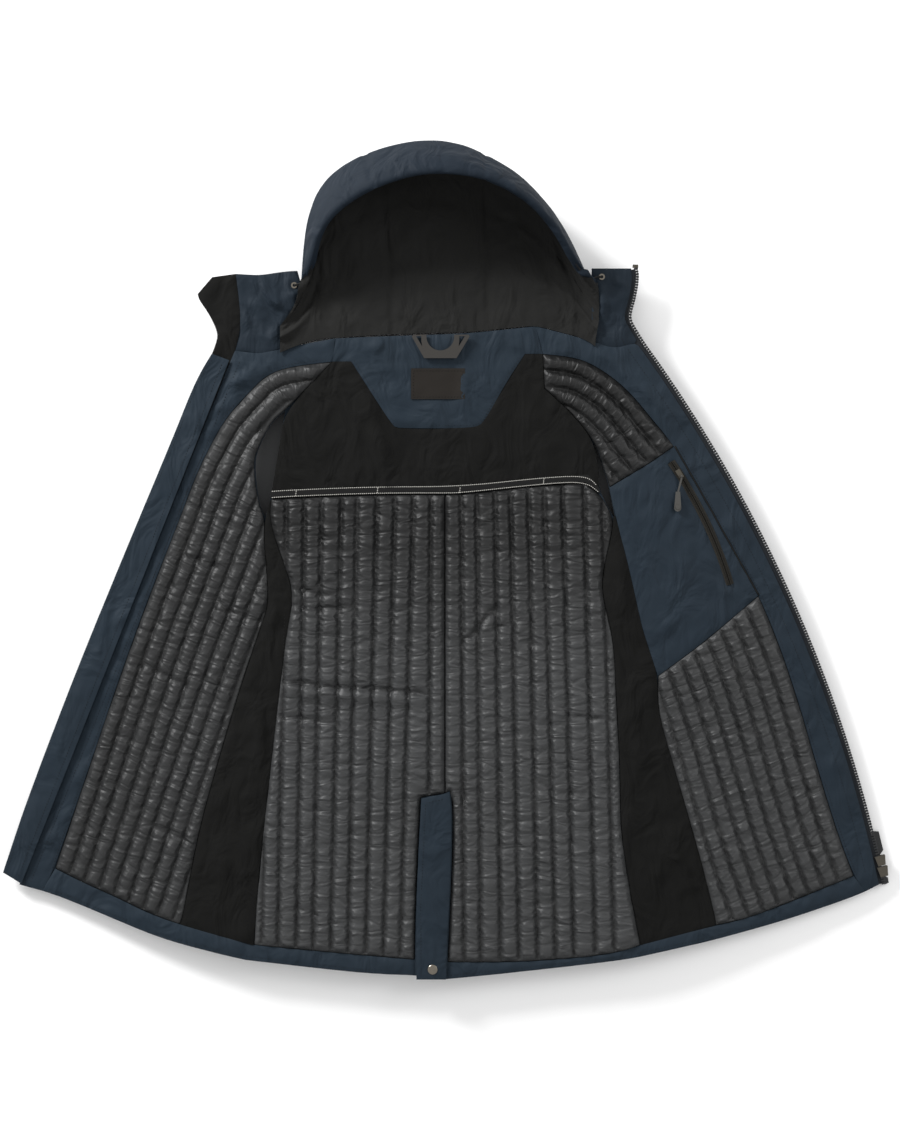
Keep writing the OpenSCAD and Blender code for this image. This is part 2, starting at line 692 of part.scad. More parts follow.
// A round tube of eight sides along a route
module tube(route, d) {
    n = 8;
    last = len(route) - 1;
    rings = [for (i = [0:last]) let (
        ahead = unit(route[min(i + 1, last)] - route[max(i - 1, 0)]),
        across = unit(cross(ahead, [0, 0, 1])),
        up = cross(across, ahead)
    ) [for (k = [0:n - 1]) route[i] + d / 2 * (cos(360 * k / n) * across + sin(360 * k / n) * up)]];
    sides = [for (i = [0:last - 1]) for (k = [0:n - 1])
        [i * n + k, i * n + (k + 1) % n, (i + 1) * n + (k + 1) % n, (i + 1) * n + k]];
    polyhedron([for (ring = rings) for (p = ring) p],
        concat(sides, [[for (k = [n - 1:-1:0]) k]], [[for (k = [0:n - 1]) last * n + k]]));
}

module hood_drawcord() {
    color("#1b1b1b") place() tube(cord_route, cord_d);
}

module cord_eyelets() {
    color("#4a463c") place() for (p = [eyelet_right, eyelet_left])
        translate([p[0], p[1], body_lift + facing_top]) difference() {
            cylinder(r = 4, h = 0.8);
            translate([0, 0, -1]) cylinder(r = 2, h = 3);
        }
}

// ---- sleeves, which lie flat under the back ----

sleeve_outline = [[128, -375], [248, -375], [260, 30], [260, 150], [248, 200], [225, 232], [160, 240],
    [108, 225], [98, 150], [112, 0]];
armhole_right = concat(armhole_right_front, rev(armhole_right_back));
armhole_left = concat(armhole_left_front, rev(armhole_left_back));
lining_in = sleeve_t + 0.3;
cuff_y = -375;

// A flat bag open at the cuff: the outline brought in by one amount, hollow from another
module sleeve_bag(outer_in, wall, low_y, high_y) {
    difference() {
        intersection() {
            translate([0, 0, outer_in]) linear_extrude(height = sleeve_h - 2 * outer_in)
                offset(delta = -outer_in) polygon(sleeve_outline);
            translate([0, low_y, -1]) cube([400, high_y - low_y, 60]);
        }
        translate([0, 0, outer_in + wall]) linear_extrude(height = sleeve_h - 2 * (outer_in + wall))
            union() {
                offset(delta = -outer_in - wall) polygon(sleeve_outline);
                translate([128 + outer_in + wall, cuff_y - 20])
                    square([120 - 2 * (outer_in + wall), 40]);
            }
    }
}

module armhole_cut(outline) {
    translate([0, 0, sleeve_h / 2]) linear_extrude(height = 40) polygon(outline);
}

module sleeve(side, outer_in, wall, low_y, high_y) {
    place() difference() {
        mirror([side < 0 ? 1 : 0, 0, 0]) sleeve_bag(outer_in, wall, low_y, high_y);
        armhole_cut(side < 0 ? armhole_right : armhole_left);
    }
}

module sleeve_shell_right() {
    color("#2f3840") sleeve(-1, 0, sleeve_t, cuff_y, 300);
}

module sleeve_shell_left() {
    color("#2f3840") sleeve(1, 0, sleeve_t, cuff_y, 300);
}

module sleeve_lining_right() {
    color("#4c4d4e") sleeve(-1, lining_in, sleeve_t, cuff_y + cuff_len + 3, 300);
}

module sleeve_lining_left() {
    color("#4c4d4e") sleeve(1, lining_in, sleeve_t, cuff_y + cuff_len + 3, 300);
}

module cuff_facing_right() {
    color("#2f3840") sleeve(-1, lining_in, sleeve_t, cuff_y, cuff_y + cuff_len + 3);
}

module cuff_facing_left() {
    color("#2f3840") sleeve(1, lining_in, sleeve_t, cuff_y, cuff_y + cuff_len + 3);
}

shell_front_right();
shell_front_left();
shell_back_right();
shell_back_left();
quilt_front_right();
quilt_front_left_upper();
quilt_front_left_lower();
quilt_back_right();
quilt_back_left();
side_gusset_right();
side_gusset_left();
front_facing_right();
front_facing_left();
hem_facing_right();
hem_facing_left();
yoke_lining();
yoke_tape();
neck_facing();
neck_label();
vent_facing();
pocket_panel();
pocket_bag();
pocket_zip_tape();
pocket_zip_coil();
pocket_slider();
pocket_pull();
collar_shell_right();
collar_shell_left();
collar_facing_right();
collar_facing_left();
chin_guard();
storm_flap();
zip_tape_right();
zip_tape_left();
zip_teeth_right();
zip_teeth_left();
zip_pin_right();
zip_top_stop_left();
slider_upper();
slider_lower();
slider_pull_upper();
slider_pull_lower();
vent_flap();
snap_cap();
snap_socket();
snap_stud();
hanger_loop();
hood_shell();
hood_brim();
hood_lining();
hood_drawcord();
cord_eyelets();
sleeve_shell_right();
sleeve_shell_left();
sleeve_lining_right();
sleeve_lining_left();
cuff_facing_right();
cuff_facing_left();
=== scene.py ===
"""The looks of a hooded, quilted sailing parka that lies open on its back, lining up.

Lengths are in metres. D() turns millimetres in the CAD drawing into the row frame.
"""

import math

import bpy
import numpy as np
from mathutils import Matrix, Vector, geometry, kdtree, noise


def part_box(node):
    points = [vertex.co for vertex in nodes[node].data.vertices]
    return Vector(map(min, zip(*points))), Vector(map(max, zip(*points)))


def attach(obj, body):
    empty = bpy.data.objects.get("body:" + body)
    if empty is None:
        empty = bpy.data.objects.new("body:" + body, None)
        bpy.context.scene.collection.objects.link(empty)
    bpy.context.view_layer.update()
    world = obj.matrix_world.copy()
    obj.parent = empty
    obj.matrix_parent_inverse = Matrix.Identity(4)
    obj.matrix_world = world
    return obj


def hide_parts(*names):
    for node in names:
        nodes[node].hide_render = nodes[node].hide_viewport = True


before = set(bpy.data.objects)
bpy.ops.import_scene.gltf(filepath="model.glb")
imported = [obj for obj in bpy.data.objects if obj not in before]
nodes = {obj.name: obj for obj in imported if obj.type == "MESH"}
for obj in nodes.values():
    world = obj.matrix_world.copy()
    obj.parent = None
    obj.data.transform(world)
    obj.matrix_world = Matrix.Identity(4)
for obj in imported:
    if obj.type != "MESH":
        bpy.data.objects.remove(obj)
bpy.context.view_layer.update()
rng = np.random.default_rng(11)
scene = bpy.context.scene

MM = 0.001
# The CAD drawing's own zero, seen in the row frame
DRAW_ZERO = np.array([2.05, -2.55]) * MM


def D(*points):
    """Points of the CAD drawing, in mm, as row frame points in metres."""
    return np.array(points, float).reshape(-1, 2) * MM + DRAW_ZERO


# ---- heights that every layer shares ----

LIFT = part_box("shell_back_right")[0].z
# Both sides slope down to the floor past BEND from the middle; BEND_SOFT rounds the bend
BEND = 0.262
BEND_SOFT = 0.006
far_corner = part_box("storm_flap")[0]
flap_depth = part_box("vent_flap")[0].z - LIFT - 0.0001
SLOPE = (LIFT + flap_depth - far_corner.z) / (-far_corner.x + DRAW_ZERO[0] - BEND)
FACING_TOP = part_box("vent_facing")[1].z - LIFT
FACING_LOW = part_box("vent_facing")[0].z - LIFT
QUILT_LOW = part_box("quilt_back_right")[0].z - LIFT
QUILT_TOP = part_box("quilt_back_right")[1].z - LIFT
SHELL_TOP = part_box("shell_back_right")[1].z - LIFT


def smooth(t):
    t = np.clip(t, 0, 1)
    return t * t * (3 - 2 * t)


def field(p, size, seed, octaves=2):
    """Smooth noise from about -1 to 1 at points p (n x 2 or n x 3), with features of that size."""
    out = np.empty(len(p))
    third = seed * 7.31
    for i, q in enumerate(p):
        v = Vector((q[0] / size + third, q[1] / size - third, (q[2] / size if len(q) > 2 else third)))
        out[i] = noise.fractal(v, 0.8, 2.0, octaves, noise_basis="PERLIN_ORIGINAL")
    return out


def unit(v):
    return v / np.maximum(np.linalg.norm(v, axis=-1), 1e-9)[..., None]


def left_of(t):
    """Plan directions turned a quarter to the left."""
    return np.stack([-t[:, 1], t[:, 0]], axis=1)


def seg_dist(p, line):
    """Distance from each point to a polyline, the share of the way along it, and the signed side."""
    best = np.full(len(p), 1e9)
    share = np.zeros(len(p))
    side = np.zeros(len(p))
    steps = np.linalg.norm(np.diff(line, axis=0), axis=1)
    total, done = steps.sum(), 0.0
    for a, b, step in zip(line[:-1], line[1:], steps):
        d = b - a
        t = np.clip(((p - a) @ d) / max(d @ d, 1e-12), 0, 1)
        off = p - a - t[:, None] * d
        dist = np.hypot(off[:, 0], off[:, 1])
        near = dist < best
        best[near] = dist[near]
        share[near] = (done + t[near] * step) / total
        side[near] = np.sign(d[0] * off[near, 1] - d[1] * off[near, 0])
        done += step
    return best, share, side


FOLD_GAIN = 2.2


def folds(p, ridges):
    """The height of soft folds: each is (points in drawing mm, height mm, width mm, taper share, skew)."""
    h = np.zeros(len(p))
    for points, height, width, taper, *more in ridges:
        skew = more[0] if more else 0.0
        d, share, side = seg_dist(p, D(*points))
        w = width * MM * (1 + skew * side)
        ends = smooth(np.minimum(share, 1 - share) / taper)
        h += FOLD_GAIN * height * MM * np.exp(-(d / w) ** 2) * ends
    return h


# The body doesn't swell along its zips, where the sliders run
calm_lines = [D((570, -404), (520, -190), (440, -10), (380, 105), (254, 290)), D((300, 130), (370, -26))]


def ground(p):
    """Height of the underside of the outer shell, which swells softly and slopes at both sides."""
    x = np.abs(p[:, 0] - DRAW_ZERO[0]) - BEND
    drop = SLOPE * BEND_SOFT * np.logaddexp(0, x / BEND_SOFT)
    calm = np.minimum.reduce([seg_dist(p, line)[0] for line in calm_lines])
    swell = 1.1 * MM * field(p[:, :2], 0.17, 3) * smooth(calm / 0.05)
    return LIFT - drop + swell


# ---- outlines of the flat CAD nodes ----

def outlines(node):
    """The loops round a flat CAD node's upper side, the longest first, as row frame points."""
    mesh = nodes[node].data
    co = np.array([v.co for v in mesh.vertices])
    names = {}
    key = [names.setdefault(tuple(np.round(c, 5)), len(names)) for c in co]
    place = {k: co[i] for i, k in enumerate(key)}
    follows = {}
    seen = set()
    for poly in mesh.polygons:
        if poly.normal.z > 0.5:
            ks = [key[i] for i in poly.vertices]
            seen.update((ks[i], ks[(i + 1) % len(ks)]) for i in range(len(ks)))
    for a, b in seen:
        if (b, a) not in seen:
            follows[a] = b
    loops = []
    while follows:
        start = min(follows)
        loop, at = [], start
        while at in follows:
            loop.append(place[at][:2])
            at = follows.pop(at)
        loops.append(np.array(loop))
    size = [np.linalg.norm(np.diff(np.vstack([l, l[:1]]), axis=0), axis=1).sum() for l in loops]
    return [loops[i] for i in np.argsort(size)[::-1]]


def rounded(loop, turn=38):
    """The loop with its gentle corners made round, and a flag for each point that stays sharp."""
    pts, sharp = [], []
    n = len(loop)
    for i in range(n):
        a, b, c = loop[i - 1], loop[i], loop[(i + 1) % n]
        u, v = b - a, c - b
        angle = abs(math.degrees(math.atan2(u[0] * v[1] - u[1] * v[0], u @ v)))
        if angle < turn:
            m0, m1 = (a + b) / 2, (b + c) / 2
            for t in (0, 0.25, 0.5, 0.75, 1):
                pts.append((1 - t) ** 2 * m0 + 2 * t * (1 - t) * b + t * t * m1)
                sharp.append(False)
        else:
            pts.append(b)
            sharp.append(True)
    return np.array(pts), np.array(sharp)


def spaced(line, step):
    """A polyline's points at even steps, both ends kept."""
    seg = np.linalg.norm(np.diff(line, axis=0), axis=1)
    at = np.concatenate([[0], np.cumsum(seg)])
    n = max(1, int(round(at[-1] / step)))
    want = np.linspace(0, at[-1], n + 1)
    return np.stack([np.interp(want, at, line[:, k]) for k in range(line.shape[1])], axis=1)


def resampled(loop, step):
    """A closed loop at even steps between its sharp corners."""
    pts, sharp = rounded(loop)
    keep = np.flatnonzero(sharp)
    if len(keep) == 0:
        return spaced(np.vstack([pts, pts[:1]]), step)[:-1]
    out = []
    for i, k in enumerate(keep):
        end = keep[(i + 1) % len(keep)]
        part = pts[k:end + 1] if end > k else np.vstack([pts[k:], pts[:end + 1]])
        out.append(spaced(part, step)[:-1])
    return np.vstack(out)


def inside(p, loop):
    """Whether each point lies inside a closed loop."""
    odd = np.zeros(len(p), bool)
    a, b = loop, np.roll(loop, -1, axis=0)
    for (x0, y0), (x1, y1) in zip(a, b):
        if y0 == y1:
            continue
        crosses = (p[:, 1] > min(y0, y1)) & (p[:, 1] <= max(y0, y1))
        odd ^= crosses & (p[:, 0] < x0 + (p[:, 1] - y0) * (x1 - x0) / (y1 - y0))
    return odd


def three(plan, z):
    """Points in plan with their heights."""
    return np.column_stack([plan, z])


def closed(loop):
    return np.vstack([loop, loop[:1]])


def within(p, loops, margin):
    """Points at least margin inside the first loop and outside the others."""
    ok = inside(p, loops[0])
    for hole in loops[1:]:
        ok &= ~inside(p, hole)
    for loop in loops:
        keep = np.flatnonzero(ok)
        ok[keep] = seg_dist(p[keep], closed(loop))[0] > margin
    return ok


# A second row of points just inside each edge keeps the seam's roll crisp
SECOND_ROW = 0.0022
SECOND_ROW_CLEAR = 0.0017


def filled(loops, step, lines=()):
    """Triangles inside the loops, with rows of points along the lines. Returns points, triangles, rows."""
    rims = [resampled(loop, step) for loop in loops]
    pts, edges, rows = [], [], []
    count = 0
    for rim in rims:
        n = len(rim)
        pts.append(rim)
        edges += [(count + i, count + (i + 1) % n) for i in range(n)]
        count += n
    for rim in rims:
        inner = rim + SECOND_ROW * left_of(unit(np.roll(rim, -1, axis=0) - np.roll(rim, 1, axis=0)))
        inner = inner[within(inner, rims, SECOND_ROW_CLEAR)]
        pts.append(inner)
        count += len(inner)
    for line in lines:
        row = spaced(line, step * 0.9)
        ok = within(row, rims, step * 0.45)
        index = []
        for good, q in zip(ok, row):
            if good:
                pts.append(q[None])
                if index and index[-1] == count - 1:
                    edges.append((count - 1, count))
                index.append(count)
                count += 1
        rows.append(index)
    lo, hi = rims[0].min(0), rims[0].max(0)
    rise = step * math.sqrt(3) / 2
    grid = [(x + (step / 2 if j % 2 else 0), y) for j, y in enumerate(np.arange(lo[1], hi[1], rise))
            for x in np.arange(lo[0], hi[0], step)]
    grid = np.array(grid)
    # uneven points keep the triangles from showing as a pattern
    grid = grid + rng.uniform(-0.22, 0.22, grid.shape) * step
    grid = grid[within(grid, rims, step * 0.6)]
    placed = np.vstack(pts)
    tree = kdtree.KDTree(len(placed))
    for i, q in enumerate(placed):
        tree.insert((q[0], q[1], 0), i)
    tree.balance()
    grid = np.array([q for q in grid if tree.find((q[0], q[1], 0))[2] > step * 0.62]).reshape(-1, 2)
    every = np.vstack([placed, grid])
    got = geometry.delaunay_2d_cdt([Vector(q) for q in every], edges, [], 1, 1e-7)
    verts = np.array([tuple(v) for v in got[0]])
    tris = np.array([f for f in got[2] if len(f) == 3])
    source = {}
    for new, olds in enumerate(got[3]):
        for old in olds:
            source[old] = new
    rows = [[source[i] for i in row if i in source] for row in rows]
    mid = verts[tris].mean(axis=1)
    good = inside(mid, rims[0])
    for hole in rims[1:]:
        good &= ~inside(mid, hole)
    tris = tris[good]
    a, b, c = verts[tris[:, 0]], verts[tris[:, 1]], verts[tris[:, 2]]
    area = (b[:, 0] - a[:, 0]) * (c[:, 1] - a[:, 1]) - (b[:, 1] - a[:, 1]) * (c[:, 0] - a[:, 0])
    tris = tris[np.abs(area) > 1e-11]
    area = area[np.abs(area) > 1e-11]
    tris[area < 0] = tris[area < 0][:, ::-1]
    return verts, tris, rows, rims


# ---- meshes and pieces ----

SEAM_WIDTH = 0.0022
# How far a fold may sink below its panel, and the least thickness it may leave
DEEPEST = 1.2 * MM
THINNEST = 0.4 * MM


def mesh_object(name, verts, faces, sharp=None):
    """A smooth-shaded mesh, with the edges sharper than that angle kept crisp."""
    mesh = bpy.data.meshes.new(name)
    mesh.from_pydata([tuple(v) for v in verts], [], [tuple(int(i) for i in f) for f in faces])
    mesh.validate()
    mesh.shade_smooth()
    if sharp:
        mesh.set_sharp_from_angle(angle=math.radians(sharp))
    obj = bpy.data.objects.new(name, mesh)
    scene.collection.objects.link(obj)
    return obj


def ring_faces(count, around, start=0):
    """Quads that join rings of points, one ring after another, numbered on from start."""
    return [(low + k, low + (k + 1) % around, low + around + (k + 1) % around, low + around + k)
            for low in range(start, start + (count - 1) * around, around) for k in range(around)]


def rod_faces(count, around, start=0):
    """The faces of a rod made of rings, with both its ends shut."""
    last = start + (count - 1) * around
    return ring_faces(count, around, start) + [tuple(range(start + around - 1, start - 1, -1)),
                                               tuple(range(last, last + around))]


def dressed(obj, material, body="jacket", replaces=()):
    """The piece with its material, joined to its body, and the CAD nodes it stands for hidden."""
    obj.data.materials.clear()
    obj.data.materials.append(M[material])
    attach(obj, body)
    if replaces:
        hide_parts(*replaces)
    return obj


def boundary(tris):
    """The directed edges that only one triangle has."""
    directed = set()
    for a, b, c in tris:
        directed.update(((a, b), (b, c), (c, a)))
    return [(a, b) for a, b in directed if (b, a) not in directed]


def shut(top, low, tris):
    """A closed sheet: the triangles above and below, joined round their edges."""
    n = len(top)
    faces = [tuple(t) for t in tris] + [tuple(t[::-1] + n) for t in tris]
    faces += [(b, a, a + n, b + n) for a, b in boundary(tris)]
    return np.vstack([top, low]), faces


def loop_turn(loop):
    """Twice a loop's area, negative where it runs clockwise."""
    x, y = loop[:, 0], loop[:, 1]
    return np.dot(x, np.roll(y, -1)) - np.dot(y, np.roll(x, -1))


# Points on top of each panel, for what is sewn on it
surfaces = {}


def cloth_panel(node, material, name=None, low=FACING_LOW, high=FACING_TOP, step=0.006, ridges=(), wobble=0.0,
                wobble_size=0.05, seam=1.0, body="jacket", extra=None, seed=1, moved=(), flat_spots=()):
    """One flat-cut panel of a CAD node, laid on the body with its folds, its edges rolled into their seams.
    moved shifts corners, to tuck an edge under its neighbour; the cloth has no folds round flat_spots."""
    loops = outlines(node)
    for corner, shift in moved:
        far = np.linalg.norm(loops[0] - D(corner), axis=1)
        loops[0][np.argmin(far)] += np.array(shift) * MM
    p, tris, _, rims = filled(loops, step)
    d = np.minimum.reduce([seg_dist(p, closed(r))[0] for r in rims])
    lift = folds(p, ridges)
    if wobble:
        lift = lift + 2.6 * wobble * MM * field(p, wobble_size, seed, 3)
    if extra is not None:
        lift = lift + extra(p)
    base = ground(p)
    lift *= smooth(d / 0.012) * 0.75 + 0.25
    for spot in flat_spots:
        lift *= smooth((np.linalg.norm(p - D(spot), axis=1) - 0.006) / 0.008)
    dip = seam * MM * np.exp(-(d / SEAM_WIDTH) ** 2)
    top = base + high + np.where(lift > 0, lift, DEEPEST * np.tanh(lift / DEEPEST)) - dip
    bottom = base + low
    top = np.maximum(top, bottom + THINNEST)
    v, f = shut(three(p, top), three(p, bottom), tris)
    obj = dressed(mesh_object(name or node + "_cloth", v, f, sharp=60), material, body, (node,))
    surfaces[node] = three(p, top)


# ---- materials ----

def srgb(r, g, b):
    def lin(c):
        c /= 255
        return c / 12.92 if c <= 0.04045 else ((c + 0.055) / 1.055) ** 2.4
    return (lin(r), lin(g), lin(b), 1)


def toned(colour, by):
    return tuple(min(c * by, 1) for c in colour[:3]) + (1,)


def new_material(name):
    """A new material, and add(kind, inputs, settings), which makes a node and gives its outputs. An input
    that is a socket is linked, any other value is stored. The kind "Shader" is the material's own shader."""
    mat = bpy.data.materials.new(name)
    mat.use_nodes = True
    tree = mat.node_tree

    def add(kind, inputs, **settings):
        node = tree.nodes["Principled BSDF"] if kind == "Shader" else tree.nodes.new("ShaderNode" + kind)
        for key, value in settings.items():
            setattr(node, key, value)
        for key, value in inputs.items():
            if isinstance(value, bpy.types.NodeSocket):
                tree.links.new(value, node.inputs[key])
            else:
                node.inputs[key].default_value = value
        return node.outputs
    return mat, add


def fabric(name, colour, rough=0.8, vary=0.12, weave=1500, bump=0.12, heather=0.0, rib=None, crumpled=0.0,
           shine=0.24):
    """A woven or knitted cloth: soft blotches of colour, a fine thread relief, and a matte or satin face."""
    mat, add = new_material(name)
    where = add("TexCoord", {})["Object"]
    blotch = add("TexNoise", {"Vector": where, "Scale": 14, "Detail": 4, "Roughness": 0.6})["Fac"]
    thread = add("TexNoise", {"Vector": where, "Scale": weave, "Detail": 2, "Roughness": 0.5})["Fac"]
    shade = add("MixRGB", {0: blotch, 1: toned(colour, 1 - vary), 2: toned(colour, 1 + vary)})[0]
    fleck = add("MixRGB", {0: 0.15 + heather, 1: shade, 2: thread}, blend_type="OVERLAY")[0]
    height = thread
    if rib:
        wave = add("TexWave", {"Vector": where, "Scale": rib, "Distortion": 0.6, "Detail": 1})["Fac"]
        height = add("Math", {0: wave, 1: thread}, operation="ADD")[0]
    # soft crumples, longer up the jacket than across it
    longer = add("Mapping", {"Vector": where, "Scale": (1.0, 0.6, 1.0), "Rotation": (0, 0, 0.4)})[0]
    crumple = add("TexNoise", {"Vector": longer, "Scale": 26, "Detail": 2.5, "Roughness": 0.45,
                               "Distortion": 1.4})["Fac"]
    waves = add("Bump", {"Height": crumple, "Strength": crumpled, "Distance": 0.012})[0]
    relief = add("Bump", {"Height": height, "Normal": waves, "Strength": bump, "Distance": 0.0004})[0]
    grain = add("MapRange", {"Value": blotch, "To Min": max(rough - 0.06, 0),
                             "To Max": min(rough + 0.06, 1)})[0]
    add("Shader", {"Base Color": fleck, "Normal": relief, "Roughness": grain, "Specular IOR Level": shine})
    return mat


def hard(name, colour, rough=0.4, metal=0.0, vary=0.15, scale=400, bump=0.1):
    """Moulded plastic, rubber or worn metal, with fine grain and darker or lighter patches."""
    mat, add = new_material(name)
    where = add("TexCoord", {})["Object"]
    patch = add("TexNoise", {"Vector": where, "Scale": scale, "Detail": 4, "Roughness": 0.6})["Fac"]
    shade = add("MixRGB", {0: patch, 1: toned(colour, 1 - vary), 2: toned(colour, 1 + vary)})[0]
    relief = add("Bump", {"Height": patch, "Strength": bump, "Distance": 0.0003})[0]
    add("Shader", {"Base Color": shade, "Normal": relief, "Roughness": rough, "Metallic": metal})
    return mat


def quilt_nylon(name, colour):
    """Satin nylon, with painted shade down in the stitched grooves and creases, a darker tone at the top of the
    back, and puckers across the channels. The mesh gives the way along and across the channels as its UV. Its
    colour attribute gives how far a point is out of the painted groove shade, how much it puckers, and the
    tone."""
    mat, add = new_material(name)
    where = add("TexCoord", {})
    unshaded_share, puckered, tone = add("SeparateColor", {0: add("VertexColor", {}, layer_name="groove")[0]})
    stretch = add("Mapping", {"Vector": where["UV"], "Scale": (88, 30, 1), "Rotation": (0, 0, 0.25)})[0]
    pucker = add("TexNoise", {"Vector": stretch, "Scale": 1.0, "Detail": 1.2, "Roughness": 0.45,
                              "Distortion": 0.9})["Fac"]
    fine = add("TexNoise", {"Vector": where["Object"], "Scale": 260, "Detail": 3, "Roughness": 0.6})["Fac"]
    ease = add("Math", {0: pucker, 1: puckered}, operation="MULTIPLY")[0]
    total = add("Math", {0: fine, 1: 0.06, 2: ease}, operation="MULTIPLY_ADD")[0]
    relief = add("Bump", {"Height": total, "Strength": 0.9, "Distance": 0.0055})[0]
    # painted shade: the colour falls to a quarter down in the grooves and creases and rises a little out of
    # them
    painted_groove_shade = add("MixRGB", {0: unshaded_share, 1: toned(colour, 0.25), 2: toned(colour, 1.12)})[0]
    shade = add("MixRGB", {0: 1.0, 1: painted_groove_shade, 2: tone}, blend_type="MULTIPLY")[0]
    add("Shader", {"Base Color": shade, "Normal": relief, "Roughness": 0.54, "Specular IOR Level": 0.36})
    return mat


M = {
    "navy": fabric("navy_shell", srgb(20, 32, 42), 0.75, 0.07, 1300, 0.10, crumpled=0.55),
    # painted shade: the hood's navy is a darker copy of the shell's navy, so its brim stays dark where the key
    # light falls on it
    "hood": fabric("navy_hood_painted_shade", srgb(14, 24, 34), 0.75, 0.07, 1300, 0.10, crumpled=0.55, shine=0.18),
    "collar": fabric("navy_collar", srgb(13, 25, 35), 0.75, 0.07, 1300, 0.10, crumpled=0.55),
    "hem": fabric("navy_hem", srgb(21, 33, 43), 0.75, 0.07, 1300, 0.10, crumpled=0.55),
    "quilt": quilt_nylon("quilt_nylon", srgb(58, 59, 60)),
    "jersey": fabric("black_jersey", srgb(11, 11, 10), 0.95, 0.08, 1000, 0.2, 0.1, crumpled=0.6, shine=0.19),
    "hood_jersey": fabric("hood_jersey", srgb(21, 21, 20), 0.95, 0.08, 1000, 0.2, 0.1, crumpled=0.6,
                          shine=0.28),
    "lining": fabric("sleeve_lining", srgb(70, 71, 72), 0.45, 0.06, 1500, 0.08),
    "tape": fabric("woven_tape", srgb(8, 8, 8), 0.8, 0.1, 1600, 0.2),
    "tape_line": fabric("tape_edge_thread", srgb(176, 174, 168), 0.7, 0.15, 2500, 0.2),
    "label": fabric("label_weave", srgb(25, 21, 17), 0.8, 0.1, 1600, 0.25, 0.1),
    "label_thread": fabric("label_thread", srgb(24, 22, 19), 0.7, 0.1, 2500, 0.2),
    "zip_tape": fabric("zip_tape", srgb(19, 23, 28), 0.75, 0.1, 1600, 0.3, rib=300),
    "teeth": hard("moulded_teeth", srgb(22, 24, 26), 0.3, 0.0, 0.2, 900, 0.05),
    "gunmetal": hard("gunmetal", srgb(88, 84, 76), 0.35, 0.9, 0.25, 700, 0.15),
    "nickel": hard("snap_nickel", srgb(128, 122, 112), 0.3, 0.95, 0.25, 500, 0.1),
    "pull": hard("pull_rubber", srgb(58, 57, 54), 0.5, 0.0, 0.15, 900, 0.1),
    "pocket_zip": fabric("pocket_zip", srgb(30, 28, 23), 0.7, 0.1, 1600, 0.3, rib=500),
    "loop": hard("loop_rubber", srgb(36, 33, 29), 0.55, 0.0, 0.12, 1200, 0.12),
    "cord": fabric("braided_cord", srgb(17, 17, 17), 0.75, 0.15, 2500, 0.4, rib=600),
    "thread": fabric("sewing_thread", srgb(15, 18, 22), 0.7, 0.1, 2500, 0.2),
    "quilt_thread": fabric("quilt_thread", srgb(14, 14, 15), 0.6, 0.1, 2500, 0.2),
}

# ---- camera, light and floor ----

CAMERA_HEIGHT = 4.0
camera = bpy.data.objects.new("camera", bpy.data.cameras.new("camera"))
camera.data.sensor_width = 36
camera.data.lens = 97.7
camera.location = (0.00465, -0.0019, CAMERA_HEIGHT)
camera.data.clip_end = 60
scene.collection.objects.link(camera)
scene.camera = camera
scene.view_settings.view_transform = "Standard"
scene.view_settings.look = "None"

world = bpy.data.worlds.new("studio")
world.use_nodes = True
sky = world.node_tree.nodes["Background"].inputs
sky["Color"].default_value = (1, 1, 1, 1)
sky["Strength"].default_value = 0.72
scene.world = world


def soft_light(name, place, size, power):
    """A square lamp that faces the middle of the jacket."""
    data = bpy.data.lights.new(name, "AREA")
    data.shape = "SQUARE"
    data.size = size
    data.energy = power
    lamp = bpy.data.objects.new(name, data)
    lamp.location = place
    lamp.rotation_mode = "QUATERNION"
    lamp.rotation_quaternion = (-Vector(place)).to_track_quat("-Z", "Y")
    scene.collection.objects.link(lamp)


soft_light("key_light", (-2.4, 2.4, 1.35), 0.9, 190)
soft_light("side_light", (2.4, 1.2, 2.0), 1.4, 34)

FAR = 30
floor = mesh_object("floor", [(-FAR, -FAR, 0), (FAR, -FAR, 0), (FAR, FAR, 0), (-FAR, FAR, 0)], [(0, 1, 2, 3)])
floor.data.materials.append(fabric("floor_paper", (0.97, 0.97, 0.97, 1), 0.9, 0.01, 200, 0.02, shine=0.28))


# ---- stitches ----

def stitches(name, lines, height, material, length=0.0026, gap=0.0014, width=0.00055, lift=0.0001,
             body="jacket"):
    """Rows of small capsule stitches along lines in plan, each lifted a little over height()."""
    sides = 6
    verts, faces = [], []
    for line in lines:
        pitch = length + gap
        pts = spaced(np.asarray(line, float)[:, :2], pitch / 2)
        z = height(pts) + lift
        for i in range(0, len(pts) - 2, 2):
            a = np.append(pts[i], z[i])
            b = np.append(pts[i + 1], z[i + 1])
            b = a + (b - a) * (length / (pitch / 2)) * 0.75
            t = unit(b - a)
            side = unit(np.cross(t, (0, 0, 1)))
            up = np.cross(side, t)
            n0 = len(verts)
            for s, r in ((0, 0.45), (0.25, 1), (0.75, 1), (1, 0.45)):
                mid = a + (b - a) * s
                for k in range(sides):
                    w = 2 * math.pi * k / sides
                    verts.append(mid + width / 2 * r * (math.cos(w) * side + math.sin(w) * up))
            faces += rod_faces(4, sides, n0)
    return dressed(mesh_object(name, np.array(verts), faces), material, body)


def offset_line(line, by):
    """A polyline moved sideways, to its left for a positive distance."""
    return line + by * left_of(unit(np.gradient(line, axis=0)))


